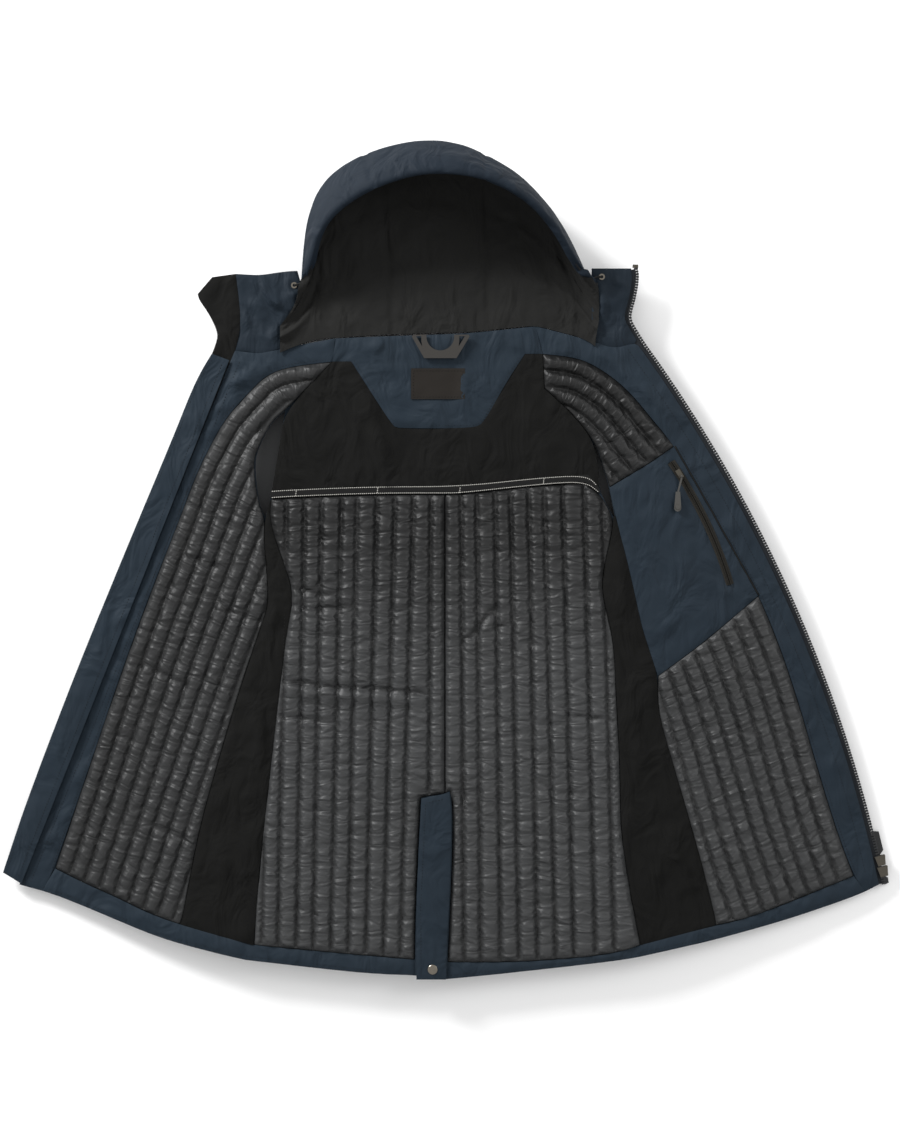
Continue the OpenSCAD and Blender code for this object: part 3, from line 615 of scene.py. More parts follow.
def curve(points, step=0.006):
    """Drawing points in mm as a smooth row frame line (a corner-cut curve through their middles)."""
    line = D(*points)
    pts = [line[0]]
    for i in range(1, len(line) - 1):
        m0 = (line[i - 1] + line[i]) / 2 if i > 1 else line[0] * 0.5 + line[1] * 0.5
        m1 = (line[i] + line[i + 1]) / 2
        for t in np.linspace(0, 1, 6):
            pts.append((1 - t) ** 2 * m0 + 2 * t * (1 - t) * line[i] + t * t * m1)
    pts.append(line[-1])
    return spaced(np.array(pts), step)


# ---- quilted pads ----

# The pad's thickness at its stitches, and how far it may puff above them
STITCH_H = 1.0 * MM
PUFF_CAP = 7.5 * MM
CHANNEL = 21 * MM
QUILT_STEP = 4.4 * MM
BLOW_FRAMES = 24


def blown(name, verts, tris, fixed):
    """The flat cloth after it has been blown up between its stitched points, by Blender's cloth solver."""
    obj = mesh_object(name + "_cloth", np.column_stack([verts, np.zeros(len(verts))]), tris)
    group = obj.vertex_groups.new(name="held")
    group.add([int(i) for i in fixed], 1.0, "REPLACE")
    mod = obj.modifiers.new("cloth", "CLOTH")
    s = mod.settings
    s.bending_model = "LINEAR"
    s.quality = 7
    s.mass = 0.002
    s.tension_stiffness = 15
    s.compression_stiffness = 5
    s.shear_stiffness = 2
    s.bending_stiffness = 100
    s.air_damping = 1
    s.vertex_group_mass = "held"
    s.shrink_min = -0.09
    s.use_pressure = True
    s.uniform_pressure_force = 60
    s.effector_weights.gravity = 0
    mod.collision_settings.use_collision = False
    mod.point_cache.frame_start = 1
    mod.point_cache.frame_end = BLOW_FRAMES
    for f in range(1, BLOW_FRAMES + 1):
        scene.frame_set(f)
    graph = bpy.context.evaluated_depsgraph_get()
    done = obj.evaluated_get(graph).to_mesh()
    co = np.array([v.co for v in done.vertices])
    obj.evaluated_get(graph).to_mesh_clear()
    data = obj.data
    bpy.data.objects.remove(obj)
    bpy.data.meshes.remove(data)
    scene.frame_set(1)
    return co


def quilt(name, node, lines, guide, creases, seed, shade):
    """A quilted pad: cloth blown up between its stitched channels, creased, and laid on the body.
    Gives the rows of stitches on it."""
    soft = []
    for line in lines:
        fine = spaced(line, QUILT_STEP)
        jitter = 0.45 * MM * np.array([noise.noise(Vector((q[0] * 90, q[1] * 90, seed))) for q in fine])
        soft.append(fine + jitter[:, None] * np.array([1, 0.2]))
    verts, tris, rows, rims = filled(outlines(node), QUILT_STEP, soft)
    rim_d = np.minimum.reduce([seg_dist(verts, closed(r))[0] for r in rims])
    fixed = set(np.flatnonzero(rim_d < 1e-5)).union(*rows)
    line_d = np.minimum.reduce([rim_d] + [seg_dist(verts, line)[0] for line in soft])
    co = blown(name, verts, tris, sorted(fixed))
    h = np.clip(co[:, 2] * 1.35, -0.5 * MM, None)
    h = np.where(h > 0, PUFF_CAP * np.tanh(h / PUFF_CAP), h)
    # the solver's shortest ripples are eased between each point and its neighbours
    pairs = np.concatenate([tris[:, [0, 1]], tris[:, [1, 2]], tris[:, [2, 0]]])
    for _ in range(2):
        total, number = np.zeros(len(h)), np.zeros(len(h))
        np.add.at(total, pairs[:, 0], h[pairs[:, 1]])
        np.add.at(number, pairs[:, 0], 1)
        mean = total / np.maximum(number, 1)
        h = np.where(line_d > QUILT_STEP * 0.4, 0.5 * h + 0.5 * mean, h)
    move = np.clip(co[:, :2] - verts, -0.003, 0.003)
    plan = verts + move
    h = h + folds(verts, creases)
    h = h * smooth(rim_d / 0.004 + 0.1)
    h += 0.5 * MM * field(verts, 0.05, seed + 5) * smooth(rim_d / 0.02)
    base = ground(verts)
    top = base + QUILT_LOW + STITCH_H + h - 0.8 * MM * np.exp(-(rim_d / 0.002) ** 2)
    spots = three(plan, top)
    v, f = shut(spots, three(verts, base + QUILT_LOW), tris)
    obj = mesh_object(name, v, f)
    # the way along and across the channels, the painted shade in the grooves and creases, and the cloth's tone,
    # for the material
    across, share, _ = seg_dist(verts, guide)
    along = share * np.linalg.norm(np.diff(guide, axis=0), axis=1).sum()
    uv = np.tile(np.column_stack([along, across]), (2, 1))
    layer = obj.data.uv_layers.new(name="channels")
    for loop in obj.data.loops:
        layer.data[loop.index].uv = uv[loop.vertex_index]
    # painted shade: darker along the stitched lines, the pad's edge and the creases
    lit = smooth(line_d / 0.0030 + 0.12) * (1 - 0.6 * smooth(-folds(verts, creases) / 0.006))
    colours = np.tile(np.column_stack([lit, smooth(line_d / 0.006), shade(verts), np.ones(len(verts))]),
                      (2, 1))
    colour = obj.data.color_attributes.new("groove", "FLOAT_COLOR", "POINT")
    colour.data.foreach_set("color", colours.ravel())
    mod = obj.modifiers.new("smooth", "SUBSURF")
    mod.levels = mod.render_levels = 1
    dressed(obj, "quilt", replaces=(node,))
    return [spots[row] for row in rows if len(row) > 3]


def sampler(spots, count=3, ease=2e-4):
    """A function that gives the height under points in plan, from the nearest few of these 3-D spots."""
    tree = kdtree.KDTree(len(spots))
    for i, q in enumerate(spots):
        tree.insert((q[0], q[1], 0), i)
    tree.balance()

    def height(pts):
        out = np.empty(len(pts))
        for i, q in enumerate(pts):
            near = tree.find_n((q[0], q[1], 0), count)
            w = np.array([1 / (r[2] + ease) for r in near])
            out[i] = sum(spots[r[1], 2] * k for r, k in zip(near, w)) / w.sum()
        return out
    return height


right_outer = curve([(-513, -399), (-412, -100), (-348, 61), (-332, 105), (-313, 146), (-290, 188),
                     (-256, 225), (-237, 244), (-209, 255), (-150, 262)])
left_outer = curve([(530, -409), (507, -348), (481, -263), (456, -177), (430, -101), (405, -42)])
left_top = curve([(295, 152), (263, 190), (242, 216), (218, 239), (186, 260), (161, 268), (123, 272)])


def extended(line, by):
    """A line made longer at both ends."""
    a = line[0] + (line[0] - line[1]) / np.linalg.norm(line[0] - line[1]) * by
    b = line[-1] + (line[-1] - line[-2]) / np.linalg.norm(line[-1] - line[-2]) * by
    return np.vstack([a, line, b])


front_right_lines = [offset_line(extended(right_outer, 0.05), -CHANNEL * k) for k in range(1, 10)]
front_left_lines = [offset_line(extended(left_outer, 0.05), CHANNEL * k) for k in range(1, 11)]
upper_left_lines = [offset_line(extended(left_top, 0.03), CHANNEL * k) for k in range(1, 5)]
back_right_lines = [D((top, 92), (low, -525)) for top, low in (
    (-22, -26), (-44.5, -62.4), (-68.4, -84.3), (-92.3, -107), (-118, -130), (-138, -153), (-163.8, -175.8),
    (-185.8, -197.7), (-209.6, -221.6), (-231, -243))]
back_left_lines = [D((top, 112), (low, -525)) for top, low in (
    (17.2, 21.2), (37.2, 43.1), (61, 69), (81, 92.9), (104.8, 116.8), (124.7, 140.6), (148.6, 164.5),
    (176.5, 192.4), (200, 217))]

back_right_creases = [
    ([(-222, -155), (-150, -163), (-80, -166), (-22, -172)], -2.6, 3.0, 0.08, 0.5),
    ([(-222, -163), (-150, -172), (-80, -175), (-30, -180)], 1.6, 7, 0.1),
    ([(-224, -199), (-158, -207)], -1.8, 2.6, 0.2, 0.5),
    ([(-215, -52), (-180, -62), (-118, -58)], -1.8, 3.0, 0.2, 0.5),
    ([(-205, -30), (-170, -42), (-140, -40)], -1.6, 3.0, 0.2),
]
back_left_creases = [
    ([(66, -48), (40, -82), (17, -107)], -2.2, 3.2, 0.2, 0.5),
    ([(150, -196), (185, -202), (205, -200)], -1.6, 2.6, 0.2),
    ([(10, -290), (40, -330)], -1.6, 2.6, 0.2),
    ([(110, -280), (140, -300), (190, -300)], -1.4, 2.6, 0.2),
]
front_right_creases = [
    ([(-350, 8), (-320, 5), (-290, -10)], -1.6, 2.6, 0.2),
    ([(-300, -60), (-260, -70), (-235, -80)], -1.6, 2.6, 0.2),
    ([(-420, -130), (-380, -140), (-330, -165)], -1.6, 2.6, 0.2),
]


def back_tone(p):
    """The back's quilt is darker up at the yoke."""
    return 0.14 + 0.50 * smooth((0.07 - p[:, 1]) / 0.24) + 0.06 * field(p, 0.12, 9)


def top_tone(p):
    return 0.07 + 0.2 * smooth((0.235 - p[:, 1]) / 0.2)


def front_tone(p):
    return (0.29 + 0.2 * smooth(p[:, 0] / 0.3) + 0.10 * smooth((-0.1 - p[:, 1]) / 0.3)
            + 0.06 * field(p, 0.15, 12))


def scattered(low, high, count, seed):
    """Short creases at random over a box of the drawing, each slanting across the channels."""
    pick = np.random.default_rng(seed)
    out = []
    for _ in range(count):
        x, y = pick.uniform(low, high)
        turn = pick.normal(0, 0.35)
        half = pick.uniform(0.4, 1.3) * 22.5
        dx, dy = half * math.cos(turn), half * math.sin(turn)
        out.append(([(x - dx, y - dy), (x, y + pick.uniform(-3, 3)), (x + dx, y + dy)],
                    -0.6 * pick.uniform(0.6, 1.5), pick.uniform(2.2, 3.6), 0.4, pick.choice((-0.5, 0.5))))
    return out


up_guide = spaced(D((0, -560), (0, 150)), 0.05)
pads = (
    ("front_right", "front_right", front_right_lines, right_outer, front_right_creases,
     ((-480, -430), (-230, 200), 55), front_tone),
    ("back_right", "back_right", back_right_lines, up_guide, back_right_creases,
     ((-225, -490), (-10, 80), 70), back_tone),
    ("back_left", "back_left", back_left_lines, up_guide, back_left_creases,
     ((10, -490), (215, 90), 70), back_tone),
    ("front_left", "front_left_lower", front_left_lines, left_outer, [],
     ((290, -440), (480, -90), 40), front_tone),
    ("upper_left", "front_left_upper", upper_left_lines, left_top, [],
     ((170, 110), (280, 250), 14), top_tone),
)
for seed, (side, node, lines, guide, creases, box, shade) in enumerate(pads, 1):
    rows = quilt("quilted_" + side, "quilt_" + node, lines, guide, creases + scattered(*box, seed), seed,
                 shade)
    stitches("stitches_quilt_" + side, rows, sampler(np.vstack(rows), 2, 1e-5), "quilt_thread", width=0.0009,
             length=0.0024, gap=0.0022, lift=0.0002)

# ---- smooth cloth panels of the lining side ----

facing_folds_right = [
    ([(-235, 270), (-262, 246), (-294, 225)], 2.2, 6, 0.4, 0.4),
    ([(-219, 273), (-242, 249), (-261, 228)], 1.8, 5, 0.4, 0.4), ([(-241, 247), (-293, 225)], 1.6, 6, 0.4),
    ([(-286, 206), (-308, 195)], 1.6, 5, 0.5), ([(-297, 184), (-323, 161)], 1.6, 5, 0.5, 0.4),
    ([(-330, 130), (-352, 84)], 1.2, 6, 0.5), ([(-372, 30), (-384, -22)], 1.1, 7, 0.5),
    ([(-420, -110), (-434, -160)], 1.1, 7, 0.5), ([(-470, -240), (-480, -300)], 1.2, 7, 0.5),
    ([(-515, -340), (-520, -385)], 1.0, 6, 0.5)]
facing_folds_left = [
    ([(175, 289), (206, 265), (236, 236), (273, 202), (290, 186)], 2.2, 6, 0.3, 0.5),
    ([(320, 160), (352, 100)], 1.2, 7, 0.5), ([(400, 20), (425, -40)], 1.2, 7, 0.5),
    ([(445, -90), (470, -150)], 1.0, 7, 0.5), ([(500, -230), (512, -290)], 1.1, 7, 0.5)]
collar_folds_right = [
    ([(-237, 372), (-243, 363), (-236, 346), (-223, 336), (-205, 328)], 2.6, 5, 0.35, 0.5),
    ([(-207, 375), (-209, 360), (-203, 347), (-193, 336)], 2.4, 5, 0.35, 0.5),
    ([(-256, 347), (-246, 328), (-235, 307)], 1.8, 6, 0.4),
    ([(-268, 338), (-261, 310), (-250, 281)], 2.0, 6, 0.4)]
collar_folds_left = [
    ([(196, 379), (203, 347), (202, 305)], 2.0, 5, 0.25, -0.4),
    ([(215, 373), (226, 364), (236, 357)], 2.0, 5, 0.4),
    ([(230, 333), (226, 319), (236, 295)], 2.0, 5, 0.4, 0.4)]
neck_folds = [
    ([(-173, 284), (-153, 269)], 1.8, 5, 0.5), ([(-107, 272), (-75, 293)], 1.8, 5, 0.5, 0.4),
    ([(-104, 252), (-80, 254), (-54, 248)], 1.5, 5, 0.5), ([(79, 290), (102, 272)], 1.8, 5, 0.5),
    ([(114, 304), (120, 275)], 1.6, 5, 0.5), ([(24, 258), (21, 222), (15, 188)], 1.5, 8, 0.4)]
yoke_folds = [
    ([(-121, 226), (-100, 207), (-81, 185)], 2.2, 8, 0.5),
    ([(-107, 185), (-86, 150), (-69, 113)], 2.4, 9, 0.5, 0.3), ([(65, 150), (62, 116)], 1.8, 8, 0.5),
    ([(-126, 260), (-100, 190), (-70, 109)], 1.2, 12, 0.4),
    ([(128, 214), (160, 192), (186, 168)], 1.8, 8, 0.5), ([(100, 220), (120, 160), (150, 112)], 1.6, 12, 0.4)]
gusset_folds_right = [
    ([(-240, -20), (-226, -60), (-232, -100)], 2.0, 8, 0.4),
    ([(-262, -180), (-240, -230), (-250, -290)], 2.0, 10, 0.4),
    ([(-310, -330), (-290, -400), (-300, -460)], 1.8, 12, 0.4), ([(-270, -380), (-262, -450)], 1.6, 9, 0.4)]
gusset_folds_left = [
    ([(225, 40), (222, -20), (232, -80)], 2.0, 8, 0.4),
    ([(240, -170), (250, -240), (262, -290)], 2.0, 10, 0.4),
    ([(290, -330), (300, -400), (312, -450)], 1.8, 12, 0.4), ([(270, -380), (272, -450)], 1.6, 9, 0.4)]
pocket_folds = [([(300, 60), (310, 20), (300, -40)], 1.2, 14, 0.4), ([(270, -60), (300, -95)], 1.4, 8, 0.5),
                ([(345, -20), (372, -48)], 1.2, 7, 0.5)]

# The pocket's zip runs on an arc, in drawing mm
POCKET_MID, POCKET_R = (-169, -189), 560


def zip_dip(p):
    """The pocket panel is drawn down along its zip."""
    off = np.linalg.norm(p - D(POCKET_MID), axis=1) - POCKET_R * MM
    return -0.0022 * np.exp(-(off / 0.008) ** 2)


cloth_panel("front_facing_right", "navy", wobble=1.6, wobble_size=0.06, ridges=facing_folds_right, seed=2,
            moved=(((-556, -419), (-4, -1)),))
cloth_panel("front_facing_left", "navy", wobble=1.4, wobble_size=0.06, ridges=facing_folds_left, seed=3)
cloth_panel("hem_facing_right", "hem", wobble=1.2, wobble_size=0.03, seed=4)
cloth_panel("hem_facing_left", "hem", wobble=1.2, wobble_size=0.03, seed=5)
cloth_panel("vent_facing", "navy", wobble=0.2, seed=6)
for seed, side, ridges in ((7, "right", gusset_folds_right), (8, "left", gusset_folds_left)):
    cloth_panel("side_gusset_" + side, "jersey", f"gusset_{side}_jersey", wobble=1.6, wobble_size=0.06,
                ridges=ridges, seed=seed)
cloth_panel("yoke_lining", "jersey", "yoke_jersey", wobble=1.6, wobble_size=0.08, ridges=yoke_folds, seed=9)
cloth_panel("neck_facing", "navy", wobble=1.2, ridges=neck_folds, seed=10)
cloth_panel("pocket_panel", "navy", wobble=0.9, wobble_size=0.07, seed=11, step=0.005, ridges=pocket_folds,
            extra=zip_dip)
for seed, side, ridges, eyelet in ((12, "right", collar_folds_right, (-200, 361)),
                                   (13, "left", collar_folds_left, (200, 372))):
    cloth_panel("collar_facing_" + side, "collar", wobble=1.6, wobble_size=0.04, ridges=ridges, seed=seed,
                step=0.0045, flat_spots=(eyelet,))
cloth_panel("storm_flap", "navy", low=QUILT_TOP - 0.002, high=QUILT_TOP, wobble=1.0, body="storm_flap",
            seed=14, seam=0.4)
vent_low, vent_top = [corner.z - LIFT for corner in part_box("vent_flap")]
cloth_panel("vent_flap", "navy", low=vent_low, high=vent_top, wobble=0.5, body="vent_flap", seed=15,
            flat_spots=((-20, -528),))
cloth_panel("yoke_tape", "tape", "yoke_tape_woven", low=FACING_TOP, high=FACING_TOP + 0.0014, seam=0.2,
            seed=17, step=0.005, wobble=0.5, wobble_size=0.06)
cloth_panel("pocket_bag", "lining", low=SHELL_TOP + 0.0001, high=FACING_LOW - 0.0001, step=0.012, seam=0)
cloth_panel("chin_guard", "jersey", "chin_guard_jersey", low=0.0, wobble=1.4, wobble_size=0.035, seed=16,
            moved=(((-307, 273), (-3, -8)), ((-283.5, 264), (1, -9))))

# ---- outer shell, seen from below ----

for side in ("right", "left"):
    for part in ("front", "back"):
        cloth_panel(f"shell_{part}_{side}", "navy", low=0.0, high=SHELL_TOP, step=0.010, seam=0.2, seed=20)
    cloth_panel("collar_shell_" + side, "collar", low=0.0, high=SHELL_TOP, step=0.008, seam=0.2, seed=21)

# ---- hood ----

HOOD_LOW, BRIM_SIDE, BRIM_TOP = 5, 44, 112
OUTLINE_R = ((0, 183), (20, 182), (30, 181), (49, 187), (74, 202), (90, 215), (110, 223), (134, 232),
             (161, 198), (172, 186), (180, 184))
OPENING_R = ((0, 175), (16, 176), (27, 172), (45, 171), (64, 169), (88, 169), (116, 175), (126, 180),
             (148, 192), (171, 178), (180, 176))
REACH = ((0, 0), (0.1, 0.17), (0.25, 0.45), (0.4, 0.72), (0.5, 0.88), (0.6, 0.97), (0.7, 1))
RISE = ((0.4, 0), (0.5, 0.1), (0.6, 0.28), (0.7, 0.52), (0.85, 0.84), (1, 1))
NECK_Y = ((-190, 293), (-147, 294), (-79, 297), (24, 300), (114, 310), (150, 301), (190, 292))
# Where the hood's cloth meets the collar at each end: the share of the way up, then the drawing point
END_RIGHT = ((0, -219, 278), (0.3, -219, 308), (0.55, -204, 328), (0.7, -196, 340), (1, -192, 364))
END_LEFT = ((0, 191.8, 286), (0.3, 196.8, 315), (0.55, 197, 336), (0.7, 195, 353), (1, 194, 376))


def eased(table, at, width):
    """A table's value, made smooth by averaging it over a width."""
    t = np.array(table, float)
    shifts = np.linspace(-1, 1, 7)
    weight = np.cos(shifts * 1.2)
    return sum(k * np.interp(at + d * width, t[:, 0], t[:, 1]) for d, k in zip(shifts, weight)) / weight.sum()


def hood_mid_surface(a, w, end_z):
    """The hood's outer face at angle a (degrees) and way w from the neck seam to the brim's edge, in drawing
    mm. At each end the cloth is drawn to the collar's edge, at the height end_z."""
    rad = np.radians(a)
    side = np.sin(rad)
    turn = np.stack([np.cos(rad), side], axis=-1)
    neck = np.stack([184 * np.cos(rad), eased(NECK_Y, 184 * np.cos(rad), 14)], axis=-1)
    low = HOOD_LOW + (LIFT / MM - HOOD_LOW) * np.power(1 - side, 1.5)
    edge = BRIM_SIDE + (BRIM_TOP - BRIM_SIDE) * side
    out = np.array([0, 330]) + eased(OUTLINE_R, a, 8)[..., None] * turn
    brim = np.array([0, 330]) + eased(OPENING_R, a, 8)[..., None] * turn
    share = eased(REACH, w, 0.05)[..., None]
    over = np.clip((w - 0.7) / 0.3, 0, 1.1)[..., None]
    flat = np.where(w[..., None] < 0.7, neck + share * (out - neck), out + over * (brim - out))
    fall = np.clip(1 - w / 0.3, 0, 1)
    z = np.where(w < 0.4, low + (LIFT / MM - low) * smooth(fall), low + (edge - low) * eased(RISE, w, 0.04))
    for table, k in ((END_LEFT, smooth((26 - a) / 26)), (END_RIGHT, smooth((a - 154) / 26))):
        e = np.array(table, float)
        target = np.stack([np.interp(w, e[:, 0], e[:, 1]), np.interp(w, e[:, 0], e[:, 2])], axis=-1)
        flat = flat + (target - flat) * k[..., None]
        z = z + (end_z - 5 * smooth((w - 0.75) / 0.15) - z) * k
    return np.concatenate([flat, z[..., None]], axis=-1)


def hood_grid(a, w, depth, end_z=24):
    """Row frame points of the hood on a grid of angles and ways, at a depth in mm inside it."""
    aa, ww = np.meshgrid(a, w, indexing="ij")
    mid = hood_mid_surface(aa, ww, end_z)
    da = (hood_mid_surface(np.clip(aa + 1, 0, 180), ww, end_z)
          - hood_mid_surface(np.clip(aa - 1, 0, 180), ww, end_z))
    dw = (hood_mid_surface(aa, np.minimum(ww + 0.02, 1), end_z)
          - hood_mid_surface(aa, np.maximum(ww - 0.02, 0), end_z))
    # the normal turns upwards towards both ends, where the cloth lies flat
    flat_out = smooth((np.abs(aa - 90) - 62) / 22)[..., None]
    n = unit(unit(np.cross(dw, da)) * (1 - 0.8 * flat_out) + np.array([0, 0, 0.8]) * flat_out)
    p = mid + n * (depth if np.isscalar(depth) else depth[..., None])
    return np.concatenate([p[..., :2] * MM + DRAW_ZERO, p[..., 2:] * MM], axis=-1)


def grid_sheet(name, top, low, material, replaces):
    """A closed sheet between two grids of points."""
    rows, cols = top.shape[:2]
    n = rows * cols
    at = np.arange(n).reshape(rows, cols)
    quads = np.stack([at[:-1, :-1], at[1:, :-1], at[1:, 1:], at[:-1, 1:]], axis=-1).reshape(-1, 4)
    faces = [tuple(q) for q in quads] + [tuple(q[::-1] + n) for q in quads]
    rim = np.concatenate([at[0, :-1], at[:-1, -1], at[-1, :0:-1], at[:0:-1, 0]])
    for i, j in zip(rim, np.roll(rim, -1)):
        faces.append((i, j, j + n, i + n))
    obj = mesh_object(name, np.vstack([top.reshape(-1, 3), low.reshape(-1, 3)]), faces, sharp=60)
    return dressed(obj, material, replaces=replaces)


def seam_dip(a, w, seams, depth, width):
    """How far the cloth dips along seams that run from the neck to the brim."""
    out = np.zeros_like(a)
    for at, lean in seams:
        out += np.exp(-((a - at - lean * (w - 0.5)) / width) ** 2)
    return -depth * out


def hood_wrinkles(aa, ww, seed, size):
    """Smooth noise over the hood's angles and ways."""
    q = np.stack([aa.ravel() / 60, ww.ravel() * 2.2], axis=1)
    return field(q, size, seed, 3).reshape(aa.shape)


BRIM_START = 0.862
hood_a = np.linspace(2, 178, 177)
hood_w = np.linspace(0, BRIM_START, 62)
aa, ww = np.meshgrid(hood_a, hood_w, indexing="ij")
lining_folds = (2.6 * hood_wrinkles(aa, ww, 31, 0.32) + 1.4 * hood_wrinkles(aa, ww, 32, 0.13)
                + 4.5 * np.exp(-((aa - 132 - 22 * (ww - 0.5)) / 5) ** 2)
                * smooth(ww / 0.25) * smooth((0.9 - ww) / 0.4)
                + 3.5 * np.exp(-((ww - 0.17 - 0.03 * np.sin(aa / 17)) / 0.035) ** 2)
                + 3.0 * np.exp(-((aa - 40 - 30 * (ww - 0.4)) / 6) ** 2) * smooth((0.8 - ww) / 0.4))
lining_dip = seam_dip(aa, ww, ((75.5, 4), (113.5, 2)), 2.8, 1.2)
SHELL_SEAMS = ((78, -9), (116, 12))
edge_hold = smooth(ww / 0.08) * smooth((BRIM_START - ww) / 0.08)
lining_depth = 6.2 - 1.0 * (1 - smooth(ww / 0.08)) + (lining_folds * 0.8 + lining_dip) * edge_hold
lining_top = hood_grid(hood_a, hood_w, lining_depth + 2, 27)
lining_low = hood_grid(hood_a, hood_w, lining_depth, 27)
for layer in (lining_top, lining_low):
    # the lining overlaps the neck facing a little
    layer[..., 1] -= 5 * MM * (1 - smooth(hood_w / 0.06))
hood_lining = grid_sheet("hood_lining_jersey", lining_top, lining_low, "hood_jersey", ("hood_lining",))

shell_dip = seam_dip(aa, ww, SHELL_SEAMS, 1.5, 1.1)
shell_wrinkle = 0.8 * hood_wrinkles(aa, ww, 33, 0.3) * edge_hold
shell_out = hood_grid(hood_a, hood_w, -shell_dip - shell_wrinkle)
shell_in = hood_grid(hood_a, hood_w, 2.2 - shell_dip - shell_wrinkle)
hood_shell = grid_sheet("hood_shell_cloth", shell_in, shell_out, "hood", ("hood_shell",))

# The brim: a channel of cloth that turns over at its edge, round the cord. Its section goes out along the
# outer face, back along the inner face, and then round its inside: (way, depth in mm)
section = [(0.855, 0.0), (0.88, -0.5), (0.91, -0.9), (0.94, -0.9), (0.97, -0.6), (0.992, 0.4), (1.006, 2.4),
           (1.01, 4.3), (1.006, 6.2), (0.992, 8.0), (0.97, 9.0), (0.94, 9.3), (0.91, 9.2), (0.88, 8.8),
           (0.855, 8.5), (0.855, 6.5), (0.91, 6.9), (0.98, 6.3), (0.985, 4.2), (0.98, 2.4), (0.91, 1.9),
           (0.855, 2.0)]
CORD_DEPTH = 4.3
SKIN_POINTS = 15
brim_ring = []
for share, depth in section:
    at = np.full((len(hood_a), 1), share)
    pucker = (0.5 * hood_wrinkles(hood_a[:, None], at, 35, 0.10)
              + seam_dip(hood_a[:, None], at, SHELL_SEAMS, 1.4, 1.1))
    deep = depth - pucker if depth < CORD_DEPTH else depth + pucker
    pts = hood_grid(hood_a, np.array([min(share, 1.0)]), deep)[:, 0]
    inward = hood_grid(hood_a, np.array([0.97]), deep)[:, 0]
    brim_ring.append(pts + (pts - inward) * max(share - 1.0, 0) / 0.03)
brim_pts = np.stack(brim_ring, axis=1)
count, around = brim_pts.shape[:2]
brim_faces = ring_faces(count, around)
for end, flip in ((0, 1), (count - 1, -1)):
    for k in range(SKIN_POINTS // 2):
        quad = (end * around + k, end * around + k + 1, end * around + around - 2 - k,
                end * around + around - 1 - k)
        brim_faces.append(quad[::flip])
hood_brim = mesh_object("hood_brim_cloth", brim_pts.reshape(-1, 3), [f[::-1] for f in brim_faces], sharp=60)
dressed(hood_brim, "hood", replaces=("hood_brim",))


def tube_object(name, line, radius, material, sides=12, replaces=()):
    """A round tube along a line of row frame points."""
    t = unit(np.gradient(line, axis=0))
    across = unit(np.cross(t, (0, 0, 1)))
    up = np.cross(across, t)
    turns = [2 * math.pi * k / sides for k in range(sides)]
    verts = [line + radius * (math.cos(w) * across + math.sin(w) * up) for w in turns]
    verts = np.stack(verts, axis=1).reshape(-1, 3)
    return dressed(mesh_object(name, verts, rod_faces(len(line), sides)), material, replaces=replaces)


# The drawcord lies in the brim and shows only beside each eyelet
cord_in = hood_grid(np.linspace(168, 12, 70), np.array([0.93]), CORD_DEPTH)
eyelets = D((-200, 361), (200, 372))
eyelet_z = LIFT + FACING_TOP + 0.0022
cord_line = np.vstack([three(eyelets[:1], [eyelet_z]), three(D((-195, 362)), [eyelet_z + 0.002]),
                       cord_in[:, 0], three(D((194, 371.5)), [eyelet_z + 0.002]),
                       three(eyelets[1:], [eyelet_z])])
tube_object("hood_drawcord_braid", spaced(cord_line, 0.003), 0.0013, "cord", replaces=("hood_drawcord",))

# ---- sleeves, pressed flat under the back ----

SLEEVE = [(128, -375), (248, -375), (260, 30), (260, 150), (248, 200), (225, 232), (160, 240), (108, 225),
          (98, 150), (112, 0)]
ARMHOLE = {1: [(217, 61), (210, 98), (200, 134), (188, 162), (195, 128), (196, 100), (200, 88), (215, 60)],
           -1: [(-238, 60), (-246, 74), (-254, 130), (-246, 152), (-230, 184), (-212, 198), (-218, 160),
                (-224, 125), (-230, 84)]}
SLEEVE_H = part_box("sleeve_shell_left")[1].z
SLEEVE_ROUND = 0.016
CUFF_Y, CUFF_TOP, SLEEVE_TOP = -375, -342, 300


def clipped(loop, low, high):
    """A loop cut off below and above two heights in y."""
    for keep, at in ((1, low), (-1, high)):
        out = []
        for a, b in zip(loop, np.roll(loop, -1, axis=0)):
            ia, ib = keep * a[1] >= keep * at, keep * b[1] >= keep * at
            if ia:
                out.append(a)
            if ia != ib:
                out.append(a + (b - a) * (at - a[1]) / (b[1] - a[1]))
        loop = np.array(out)
    return loop


